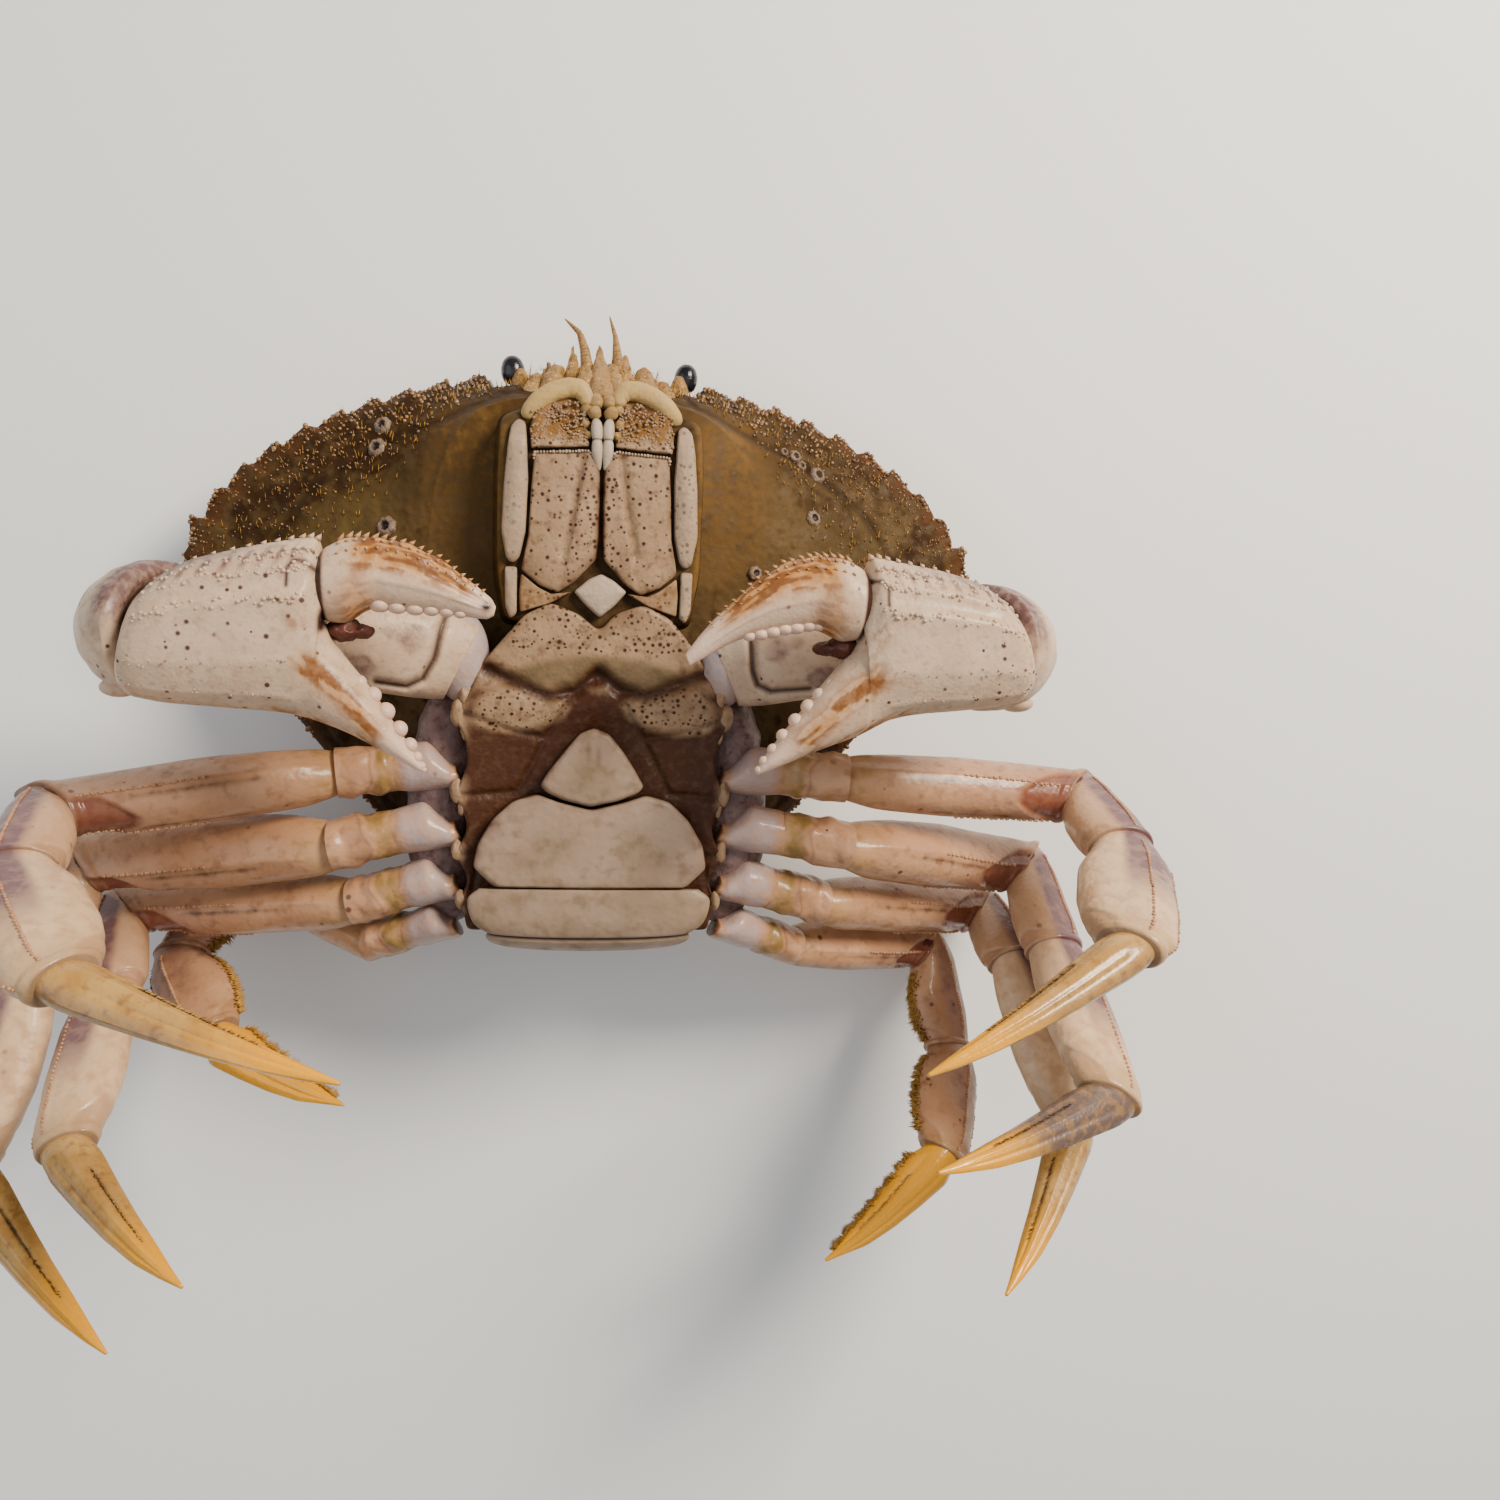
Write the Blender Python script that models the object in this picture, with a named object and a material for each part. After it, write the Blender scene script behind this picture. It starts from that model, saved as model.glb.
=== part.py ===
# Dungeness crab, life size, lying on its back with its legs and claws folded over its underside.
# Metres, +Z up. +Y is towards the head and +X is the crab's left side. The origin is the centre
# of the small flat on the back shell that the crab rests on. Sizes below are in millimetres.

import math

import bmesh
import bpy
from mathutils import Vector

MM = 0.001
GAP = 0.3

# Back shell
SHELL_HALF_WIDTH = 76.0
WIDEST_Y = 15.0
FRONT_REACH = 37.5
REAR_REACH = 64.5
MARGIN_Z = 19.0
FRONT_Z = 17.5
REST_HALF_X = 22.0
REST_HALF_Y = 18.0
BELLY_Z = 34.0
BELLY_HALF_X = 31.0
BELLY_HALF_Y = 46.7
BELLY_MID_Y = -0.75
SIDE_TEETH = 10
SIDE_TOOTH = 1.2
LAST_TOOTH = 2.0
FRONT_TOOTH = 2.2
ORBIT_X = 16.4
ORBIT_DEPTH = 5.0
FEELER_X = {"left": (4.6, 3.9, 3.0, 2.2), "right": (3.4, 3.6, 4.6, 6.6)}

# Underside plates
STERNUM_HALF_X = 24.7
STERNUM_TOP = 46.0
STERNUM_REAR_Y = -53.0
APRON_HALF_X = 21.3
APRON_THICK = 3.6
APRON_SEAM_Y = -44.0
TELSON_TIP_Y = -14.5
TELSON_BASE_Y = -26.0
TELSON_HALF_X = 9.6
MOUTH_TOP = 45.0

# Walking legs, from the front pair to the last: lengths and heights of the five segments
LEG_PARTS = ("base", "merus", "carpus", "propodus", "dactyl")
LEG_START = {
    1: (24.85, -22.5, 40.3), 2: (24.85, -33.0, 40.1), 3: (24.85, -43.2, 39.8), 4: (24.85, -52.0, 38.6),
}
LEG_LENGTH = {
    1: (22, 48, 21, 31, 44), 2: (23, 46, 23, 33, 42), 3: (20, 46, 20, 34, 39), 4: (18, 36, 22, 25, 31),
}
LEG_HEIGHT = {1: 12.5, 2: 12.5, 3: 11.6, 4: 10.2}
LEG_THICK = {1: 9.4, 2: 9.2, 3: 8.8, 4: 7.6}
BASE_THICK = {1: 9.2, 2: 9.2, 3: 8.8, 4: 7.4}
SHIN_HEIGHT = {1: 1.36, 2: 1.18, 3: 1.18, 4: 1.32}
LEG_SPREAD = {"left": 1.6, "right": 0.0}

# Heading of each segment from straight out to the side, and its rise from the floor, in degrees
LEG_POSE = {
    ("left", 1): ((-3, 6), (-4, -5), (-75, 69), (-125, 61), (-156, 19)),
    ("left", 2): ((-9, 5), (-10, -23), (-85, 54), (-82, 49), (-171, 26)),
    ("left", 3): ((-16, -9), (-9, -29), (-73, 68), (-75, 33), (-133, 40)),
    ("left", 4): ((-24, -24), (-8, -27), (-79, 25), (-111, 49), (-143, 14)),
    ("right", 1): ((-6, -3), (-7, 17), (-96, 71), (-142, 55), (-164, 17)),
    ("right", 2): ((-13, 0), (-7, -9), (-68, 21), (-78, 24), (-139, 28)),
    ("right", 3): ((-18, -9), (-6, -17), (-92, 51), (-91, 57), (-155, 46)),
    ("right", 4): ((-21, -22), (20, -38), (-54, 30), (-136, 54), (-163, 33)),
}

# Claws: how far each is shifted in and towards the head, how far its finger is closed in degrees,
# and how long its palm and finger are compared with the drawn ones
CLAW_SHIFT = {"left": (4.0, 1.0), "right": (0.0, 0.0)}
FINGER_CLOSED = {"left": 18.0, "right": 0.0}
PALM_LENGTH = {"left": 0.93, "right": 1.0}
FINGER_LENGTH = {"left": 1.13, "right": 1.0}

# Colours
SHELL_BROWN = ((0.16, 0.085, 0.03), 0.35)
SHELL_CREAM = ((0.62, 0.5, 0.36), 0.4)
CLAW_WHITE = ((0.72, 0.6, 0.46), 0.35)
LEG_CREAM = ((0.62, 0.44, 0.32), 0.38)
DACTYL_GOLD = ((0.72, 0.42, 0.1), 0.35)
EYE_BLACK = ((0.01, 0.01, 0.012), 0.08)
FEELER_TAN = ((0.55, 0.4, 0.22), 0.5)


def clear_scene():
    for obj in list(bpy.data.objects):
        bpy.data.objects.remove(obj, do_unlink=True)


def new_collection(name):
    collection = bpy.data.collections.new(name)
    bpy.context.scene.collection.children.link(collection)
    return collection


def add_material(obj, look):
    colour, roughness = look
    material = bpy.data.materials.new(obj.name)
    material.use_nodes = True
    shader = material.node_tree.nodes["Principled BSDF"]
    shader.inputs["Base Color"].default_value = (*colour, 1.0)
    shader.inputs["Roughness"].default_value = roughness
    shader.inputs["Metallic"].default_value = 0.0
    obj.data.materials.clear()
    obj.data.materials.append(material)


def add_object(name, mesh, origin, look, collection):
    obj = bpy.data.objects.new(name, mesh)
    obj.location = Vector(origin) * MM
    obj.parent = crab
    collection.objects.link(obj)
    if look:
        add_material(obj, look)
    for polygon in mesh.polygons:
        polygon.use_smooth = True
    mesh.set_sharp_from_angle(angle=math.radians(35))
    return obj


def face_out(shape):
    bmesh.ops.recalc_face_normals(shape, faces=shape.faces)
    if shape.calc_volume(signed=True) < 0.0:
        bmesh.ops.reverse_faces(shape, faces=shape.faces)


# A closed skin through rings of points, each ring with the same number of points.
def loft(name, rings, origin, look, collection=None):
    origin = Vector(origin)
    count = len(rings[0])
    shape = bmesh.new()
    grid = [[shape.verts.new((Vector(point) - origin) * MM) for point in ring] for ring in rings]
    for lower, upper in zip(grid, grid[1:]):
        for i in range(count):
            j = (i + 1) % count
            shape.faces.new((lower[i], lower[j], upper[j], upper[i]))
    shape.faces.new(reversed(grid[0]))
    shape.faces.new(grid[-1])
    face_out(shape)
    bmesh.ops.triangulate(shape, faces=shape.faces)
    mesh = bpy.data.meshes.new(name)
    shape.to_mesh(mesh)
    shape.free()
    return add_object(name, mesh, origin, look, collection or parts)


# Joins small closed pieces to a body with one union, and keeps the largest closed surface.
def fuse(body, pieces):
    joiner = body.modifiers.new("join", "BOOLEAN")
    joiner.operation = "UNION"
    joiner.operand_type = "COLLECTION"
    joiner.collection = pieces
    joiner.solver = "EXACT"
    graph = bpy.context.evaluated_depsgraph_get()
    joined = bpy.data.meshes.new_from_object(body.evaluated_get(graph))
    body.modifiers.remove(joiner)
    body.data = joined
    for piece in list(pieces.objects):
        bpy.data.objects.remove(piece, do_unlink=True)
    shape = bmesh.new()
    shape.from_mesh(joined)
    bmesh.ops.triangulate(shape, faces=shape.faces)
    left = set(shape.verts)
    largest = set()
    while left:
        island = set()
        front = [left.pop()]
        while front:
            vert = front.pop()
            island.add(vert)
            for edge in vert.link_edges:
                other = edge.other_vert(vert)
                if other in left:
                    left.remove(other)
                    front.append(other)
        if len(island) > len(largest):
            largest = island
    bmesh.ops.delete(shape, geom=[v for v in shape.verts if v not in largest], context="VERTS")
    shape.to_mesh(joined)
    shape.free()
    look_slots = [body.data.materials[0]]
    body.data.materials.clear()
    body.data.materials.append(look_slots[0])


def oval(count, power):
    points = []
    for i in range(count):
        angle = 2.0 * math.pi * i / count
        c, s = math.cos(angle), math.sin(angle)
        points.append((
            math.copysign(abs(c) ** (2.0 / power), c),
            math.copysign(abs(s) ** (2.0 / power), s),
        ))
    return points


def mix(a, b, t):
    return a + (b - a) * t


# Front edge of the shell is a quarter of a superellipse, the rear edge a straight flank
# that runs into a straight end.
def front_edge(turn):
    x = SHELL_HALF_WIDTH * math.sin(turn) ** (2.0 / 1.8)
    y = WIDEST_Y + FRONT_REACH * math.cos(turn) ** (2.0 / 1.8)
    return Vector((x, y, 0.0))


def rear_edge(part):
    inward = part * part
    drop = min(1.0, 1.45 * inward ** 0.8)
    return Vector((SHELL_HALF_WIDTH * (1.0 - inward), WIDEST_Y - REAR_REACH * drop, 0.0))


def evenly(curve, start, end, count):
    steps = 400
    points = [curve(mix(start, end, i / steps)) for i in range(steps + 1)]
    run = [0.0]
    for a, b in zip(points, points[1:]):
        run.append(run[-1] + (b - a).length)
    result = []
    k = 0
    for i in range(count):
        target = run[-1] * i / count
        while run[k + 1] < target:
            k += 1
        result.append(mix(points[k], points[k + 1], (target - run[k]) / (run[k + 1] - run[k])))
    return result


# Half of the shell's edge from the middle of the front to the middle of the rear:
# each point with the height of its tooth, or the depth of the eye socket.
def half_margin():
    margin = []
    brow_end = math.asin((21.0 / SHELL_HALF_WIDTH) ** 0.9)

    def brow(x, tooth):
        turn = math.asin((x / SHELL_HALF_WIDTH) ** 0.9) if x > 0 else 0.0
        margin.append((front_edge(turn), tooth))

    for k in range(3):
        brow(4.5 * k, FRONT_TOOTH * (1.0 - 0.15 * k))
        brow(4.5 * k + 1.2, 0.9)
        brow(4.5 * k + 2.6, -0.2)
    for x, depth in ((-3.1, 0.75), (-1.6, 0.95), (0.0, 1.0), (1.6, 0.95), (3.1, 0.7)):
        brow(ORBIT_X + x, -ORBIT_DEPTH * depth)
    side = evenly(front_edge, brow_end, math.pi / 2.0, SIDE_TEETH * 4)
    for i, point in enumerate(side):
        size = LAST_TOOTH if i >= SIDE_TEETH * 4 - 4 else SIDE_TOOTH
        margin.append((point, size * (1.0, 0.75, 0.3, -0.1)[i % 4]))
    rear = evenly(rear_edge, 0.0, 1.0, 18)
    margin.append((rear[0], LAST_TOOTH * 0.9))
    margin += [(point, 0.0) for point in rear[1:]]
    margin.append((rear_edge(1.0), 0.0))
    return margin


def build_shell():
    half = half_margin()
    ring = half + [(Vector((-p.x, p.y, 0.0)), tooth) for p, tooth in reversed(half[1:-1])]
    count = len(ring)
    outward = []
    for i in range(count):
        tangent = ring[(i + 1) % count][0] - ring[i - 1][0]
        outward.append(Vector((-tangent.y, tangent.x, 0.0)).normalized())

    def layer(share, tooth_share, inner, z_of):
        points = []
        for (edge, tooth), normal in zip(ring, outward):
            centre = inner(edge)
            flat = mix(centre, edge, share) + normal * tooth * tooth_share
            front = max(0.0, (edge.y - WIDEST_Y) / FRONT_REACH)
            flat.z = z_of(mix(MARGIN_Z, FRONT_Z, front ** 2))
            points.append(flat)
        return points

    def rest(edge):
        reach = math.hypot(edge.x / REST_HALF_X, edge.y / REST_HALF_Y)
        return Vector((edge.x / reach, edge.y / reach, 0.0))

    def belly(edge):
        across = abs(edge.x / BELLY_HALF_X) ** 4
        along = abs((edge.y - BELLY_MID_Y) / BELLY_HALF_Y) ** 4
        reach = (across + along) ** 0.25
        return Vector((edge.x / reach, BELLY_MID_Y + (edge.y - BELLY_MID_Y) / reach, 0.0))

    rings = [layer(0.0, 0.0, rest, lambda edge_z: 0.0)]
    for share, tooth_share in ((0.32, 0), (0.56, 0), (0.76, 0.1), (0.9, 0.5), (0.97, 0.85), (1.0, 1.0)):
        rings.append(layer(share, tooth_share, rest, lambda edge_z: edge_z * share ** 2))
    for share, tooth_share in ((0.965, 0.8), (0.88, 0.45), (0.7, 0.1), (0.45, 0), (0.2, 0), (0.0, 0)):
        rings.append(layer(
            share, tooth_share, belly,
            lambda edge_z: mix(edge_z, BELLY_Z, (1.0 - share) ** 0.8),
        ))
    loft("carapace", rings, (0, 0, 0), SHELL_BROWN)


# A thick plate with an upright side and a narrow bevelled rim round its top.
def plate(name, outline, low, top_of, rim, look):
    count = len(outline)
    centre = sum((Vector((x, y, 0)) for x, y in outline), Vector()) / count
    lower, upper, top = [], [], []
    for i, (x, y) in enumerate(outline):
        before = Vector((*outline[i - 1], 0.0))
        after = Vector((*outline[(i + 1) % count], 0.0))
        tangent = (after - before).normalized()
        inset = Vector((x, y, 0.0)) + Vector((-tangent.y, tangent.x, 0.0)) * rim
        lower.append(Vector((x, y, low)))
        upper.append(Vector((x, y, top_of(x, y) - rim)))
        top.append(Vector((inset.x, inset.y, top_of(inset.x, inset.y))))
    loft(name, [lower, upper, top], (centre.x, centre.y, low), look)


def mirrored(half):
    return half + [(-x, y) for x, y in reversed(half) if abs(x) > 1e-6]


def build_sternum():
    lobes = [(0, 13.5), (-4.2, 9.5), (-1.8, 4.6), (-4.6, 6.8), (-9.5, 7.6), (-13.5, 3.5)]
    flank = [(-STERNUM_HALF_X, -14.5), (-STERNUM_HALF_X, -28.0), (-STERNUM_HALF_X, -42.0)]
    rear = [(-STERNUM_HALF_X, STERNUM_REAR_Y), (0, STERNUM_REAR_Y)]
    outline = mirrored(lobes + flank + rear)
    plate("sternum", outline, BELLY_Z + GAP, lambda x, y: STERNUM_TOP, 0.8, SHELL_CREAM)


def telson_bow(x):
    return 3.2 * (1.0 - min(1.0, abs(x) / TELSON_HALF_X) ** 2)


def build_telson():
    outline = [(0.0, TELSON_TIP_Y)]
    for y_share in (0.08, 0.3, 0.6, 0.88):
        outline.append((-TELSON_HALF_X * y_share ** 0.62, mix(TELSON_TIP_Y, TELSON_BASE_Y, y_share)))
    for x in (-TELSON_HALF_X, -6.4, -3.2, 0.0):
        outline.append((x, TELSON_BASE_Y - telson_bow(x)))
    low = STERNUM_TOP + GAP
    plate("telson", mirrored(outline), low, lambda x, y: low + APRON_THICK, 1.2, SHELL_CREAM)


# Strips across the apron, each a flat arch, from its joint with the telson to the rear edge
# of the back shell.
def apron_strip(y, z, half_x, pitch, bow):
    ring = []
    for c, s in oval(20, 2.6):
        x = c * half_x
        crown = 0.35 * (1.0 - c * c)
        lift = s * APRON_THICK / 2.0 + crown * (1.0 if s > 0 else 0.0)
        back = telson_bow(x) if bow else 0.0
        ring.append(Vector((x, y - back - lift * math.sin(pitch), z + lift * math.cos(pitch))))
    return ring


def build_apron():
    mid_z = STERNUM_TOP + GAP + APRON_THICK / 2.0
    front = TELSON_BASE_Y - GAP * 1.8
    half = APRON_HALF_X
    strips = (
        (front, 12.8, True), (front - 4.8, 16.8, True), (front - 9.4, 20.3, False),
        (front - 13.4, half, False), (APRON_SEAM_Y + GAP / 2.0, half, False),
    )
    rings = [apron_strip(y, mid_z, width, 0.0, bow) for y, width, bow in strips]
    loft("abdomen_front", rings, (0, front, mid_z), SHELL_CREAM)

    rear = STERNUM_REAR_Y - GAP - APRON_THICK / 2.0
    wrap = (
        (APRON_SEAM_Y - GAP / 2.0, mid_z, half, 0), (-49.0, mid_z, half, 4),
        (-52.6, mid_z + 0.25, half - 0.6, 20),
        (-54.9, mid_z - 1.7, half - 1.6, 52), (rear - 0.3, mid_z - 5.4, half - 2.6, 80),
        (rear - 0.4, mid_z - 10.5, half - 3.8, 92), (rear + 0.5, mid_z - 17.0, half - 5.4, 100),
        (rear + 2.0, mid_z - 23.0, half - 7.5, 104), (rear + 2.8, mid_z - 26.5, half - 9.0, 104),
    )
    rings = [apron_strip(y, z, width, math.radians(pitch), False) for y, z, width, pitch in wrap]
    loft("abdomen_rear", rings, (0, APRON_SEAM_Y, mid_z), SHELL_CREAM)


def build_mouth():
    outline = [
        (0.35, 38.5), (0.35, 14.2), (5.2, 10.6), (8.6, 9.4), (11.6, 11.6), (13.4, 9.4), (14.6, 6.8),
        (18.2, 8.0), (18.7, 16.0), (18.9, 28.0), (18.2, 38.0), (17.2, 44.2), (12.8, 48.6), (7.2, 48.9),
        (3.6, 45.0), (2.2, 41.0),
    ]
    low = BELLY_Z + GAP

    def top(x, y):
        return MOUTH_TOP - 0.42 * max(0.0, y - 35.0)

    plate("maxilliped_right", [(-x, y) for x, y in reversed(outline)], low, top, 0.7, SHELL_CREAM)
    plate("maxilliped_left", outline, low, top, 0.7, SHELL_CREAM)


# Round sections along a bent line, for the eyes and feelers.
def stalk(name, points, radii, sides, look):
    rings = []
    for i, (point, radius) in enumerate(zip(points, radii)):
        ahead = Vector(points[min(i + 1, len(points) - 1)])
        behind = Vector(points[max(i - 1, 0)])
        along = (ahead - behind).normalized()
        side = along.cross(Vector((0, 0, 1))).normalized()
        up = side.cross(along)
        rings.append([Vector(point) + (side * c + up * s) * radius for c, s in oval(sides, 2.0)])
    loft(name, rings, points[0], look)


def build_face():
    for name, side in (("left", 1), ("right", -1)):
        reach = (0.0, 2.0, 3.1, 4.4, 5.8, 7.2, 8.1)
        eye = [(side * (ORBIT_X + 0.04 * d), 47.9 + d, FRONT_Z + 0.5) for d in reach]
        stalk("eye_" + name, eye, (1.4, 1.5, 2.1, 2.5, 2.5, 1.8, 0.7), 12, EYE_BLACK)
        feeler = [(side * x, 52.0 + 3.7 * t, 24.0 - 1.1 * t) for t, x in enumerate(FEELER_X[name])]
        stalk("antenna_" + name, feeler, (1.3, 0.9, 0.55, 0.25), 8, FEELER_TAN)


# One segment of a limb: sections of (place along it, height, thickness, lift) between two
# cutting planes that halve the bends at its joints.
def segment(name, start, end, start_cut, end_cut, hinge, sections, look):
    along = (end - start).normalized()
    length = (end - start).length
    back = along.cross(hinge).normalized()
    side = along.cross(back)
    rings = []
    for t, height, thick, lift in sections:
        ring = []
        for c, s in oval(10, 2.3):
            off = back * (lift + c * height / 2.0) + side * (s * thick / 2.0)
            near = (GAP / 2.0 - off.dot(start_cut)) / along.dot(start_cut)
            far = length - (GAP / 2.0 + off.dot(end_cut)) / along.dot(end_cut)
            ring.append(start + off + along * mix(near, far, t))
        rings.append(ring)
    return loft(name, rings, start, look)


def aim(side, heading, rise):
    h, r = math.radians(heading), math.radians(rise)
    return Vector((side * math.cos(r) * math.cos(h), math.cos(r) * math.sin(h), math.sin(r)))


def leg_sections(number):
    h, k, b = LEG_HEIGHT[number], LEG_THICK[number], BASE_THICK[number]
    shin = SHIN_HEIGHT[number]
    paddle = 1.2 if number == 4 else 1.0
    return (
        ((0, 10.6, b, 0), (0.4, 10.9, b, 0), (0.8, h * 0.86, k * 0.95, 0), (1, h * 0.84, k * 0.95, 0)),
        ((0, h * 0.84, k * 0.95, 0), (0.15, h * 0.98, k, 0.2), (0.5, h * 1.04, k, 0.5),
         (0.85, h * 0.96, k, 0.2), (1, h * 0.72, k * 1.05, -0.5)),
        ((0, h * 0.7, k, -0.6), (0.4, h * 1.02 * paddle, k * 1.06, 0), (0.8, h * 1.06 * paddle, k, -0.2),
         (1, h * 0.84, k * 0.92, -0.3)),
        ((0, h * 0.84, k * 0.9, -0.3), (0.2, h * shin * 0.93, k * 0.98, 0), (0.6, h * shin, k * 0.98, 0),
         (0.9, h * shin * 0.85, k * 0.86, 0), (1, h * 0.76, k * 0.8, -0.4)),
        ((0, h * 0.66, k * 0.76, -0.3), (0.12, h * 0.7 * paddle, k * 0.74, 0.3),
         (0.45, h * 0.54 * paddle, k * 0.52, 0.9), (0.75, h * 0.34 * paddle, k * 0.34, 0.8),
         (0.93, h * 0.16, k * 0.18, 0.3), (1, 0.7, 0.7, 0)),
    )


def build_leg(side_name, number):
    side = 1 if side_name == "left" else -1
    heading = [aim(side, *angles) for angles in LEG_POSE[side_name, number]]
    x, y, z = LEG_START[number]
    joints = [Vector((side * x, y, z))]
    lengths = list(LEG_LENGTH[number])
    lengths[0] += LEG_SPREAD[side_name]
    for way, length in zip(heading, lengths):
        joints.append(joints[-1] + way * length)
    hinge = heading[1].cross(heading[2]) + heading[2].cross(heading[3]) + heading[3].cross(heading[4])
    cuts = [Vector((side, 0, 0))]
    cuts += [(a + b).normalized() for a, b in zip(heading, heading[1:])]
    cuts.append(heading[-1])
    for i, (part, sections) in enumerate(zip(LEG_PARTS, leg_sections(number))):
        turn = Vector((0, -side, 0)) if i == 0 else hinge
        look = DACTYL_GOLD if part == "dactyl" else LEG_CREAM
        name = "leg%d_%s_%s" % (number, part, side_name)
        segment(name, joints[i], joints[i + 1], cuts[i], cuts[i + 1], turn, sections, look)


# The claws are drawn for the right side, whose outer face is up, and mirrored for the left.
# Every ring is (x, y, z, half height, half thickness, slant of the ring in degrees).
ARM_RINGS = (
    (-19.3, -5.1, 40.5, 8.0, 5.8, -31.9), (-30.0, -0.4, 44.0, 8.4, 6.6, -14.0),
    (-46.0, 0.2, 47.8, 8.0, 6.3, 0.0), (-60.0, -0.6, 49.6, 8.8, 6.6, 0.0), (-67.6, -0.4, 50.0, 7.6, 5.6, 0.0),
)
PALM_RINGS = (
    (-73.9, -0.8, 69.6, 7.6, 6.4, 0.0), (-69.0, 0.7, 70.0, 10.2, 8.0, 0.0),
    (-60.0, 2.1, 70.3, 12.4, 8.9, 0.0), (-52.0, 3.0, 70.5, 13.6, 8.5, 0.0),
    (-45.4, 3.2, 70.6, 14.2, 7.4, 0.0), (-43.6, -6.9, 70.8, 5.6, 6.0, -6.0),
    (-40.9, -10.0, 71.0, 4.2, 5.0, -44.0), (-35.2, -15.0, 71.3, 2.3, 3.8, -50.0),
    (-31.6, -17.8, 71.6, 1.3, 2.3, -50.0), (-28.3, -19.9, 71.8, 0.5, 0.5, -50.0),
)
FINGER_RINGS = (
    (-44.1, 9.9, 70.7, 6.6, 5.2, 6.8), (-41.0, 11.3, 70.8, 6.1, 5.4, 3.0),
    (-37.5, 12.0, 71.0, 5.3, 5.2, 0.0), (-32.6, 11.7, 71.3, 4.7, 4.6, -9.0),
    (-27.0, 10.3, 71.6, 3.9, 3.8, -18.0), (-22.0, 8.4, 71.8, 2.8, 2.7, -24.0),
    (-17.6, 6.2, 72.0, 0.6, 0.6, -28.0),
)
HINGE = Vector((-42.8, 9.0, 70.7))


def stretched(rows, start, share):
    return [(start + (row[0] - start) * share, *row[1:]) for row in rows]


def claw_rings(rows, hinge=HINGE, turn=0.0):
    rings = []
    for i, (x, y, z, high, thick, slant) in enumerate(rows):
        a = math.radians(slant + 90.0)
        up = Vector((math.cos(a), math.sin(a), 0.0))
        ring = []
        for c, s in oval(12, 2.2):
            point = Vector((x, y, z)) + up * (c * high) + Vector((0, 0, 1)) * (s * thick)
            ring.append(turned(point, hinge, turn * min(1.0, i / 2.0)))
        rings.append(ring)
    return rings


def turned(point, hinge, turn):
    arm = point - hinge
    c, s = math.cos(math.radians(-turn)), math.sin(math.radians(-turn))
    return hinge + Vector((arm.x * c - arm.y * s, arm.x * s + arm.y * c, arm.z))


# Rounded teeth along the biting edge, or thorns along the upper edge, as balls and cones.
def studs(rows, edge, count, radius, pointed, hinge, turn, move):
    spots = []
    for a, b in zip(rows, rows[1:]):
        for k in range(6):
            x, y, z, high, thick, slant = (mix(p, q, k / 6.0) for p, q in zip(a, b))
            angle = math.radians(slant + 90.0)
            up = Vector((math.cos(angle), math.sin(angle), 0.0))
            spots.append((Vector((x, y, z)) + up * high * edge, up * edge))
    for i in range(count):
        spot, up = spots[int((i + 0.5) * len(spots) / count)]
        size = radius * (1.0 - 0.45 * i / count)
        shape = bmesh.new()
        if pointed:
            bmesh.ops.create_cone(
                shape, cap_ends=True, segments=5, radius1=size, radius2=0.05, depth=size * 2.4,
            )
            quaternion = Vector((0, 0, 1)).rotation_difference(up)
            for vert in shape.verts:
                vert.co.rotate(quaternion)
        else:
            bmesh.ops.create_uvsphere(shape, u_segments=7, v_segments=5, radius=size)
        seat = spot + up * (size * (0.5 if pointed else -0.1))
        for vert in shape.verts:
            vert.co = move(turned(seat + vert.co, hinge, turn)) * MM
        face_out(shape)
        mesh = bpy.data.meshes.new("stud")
        shape.to_mesh(mesh)
        shape.free()
        studs_now.objects.link(bpy.data.objects.new("stud", mesh))


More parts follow.
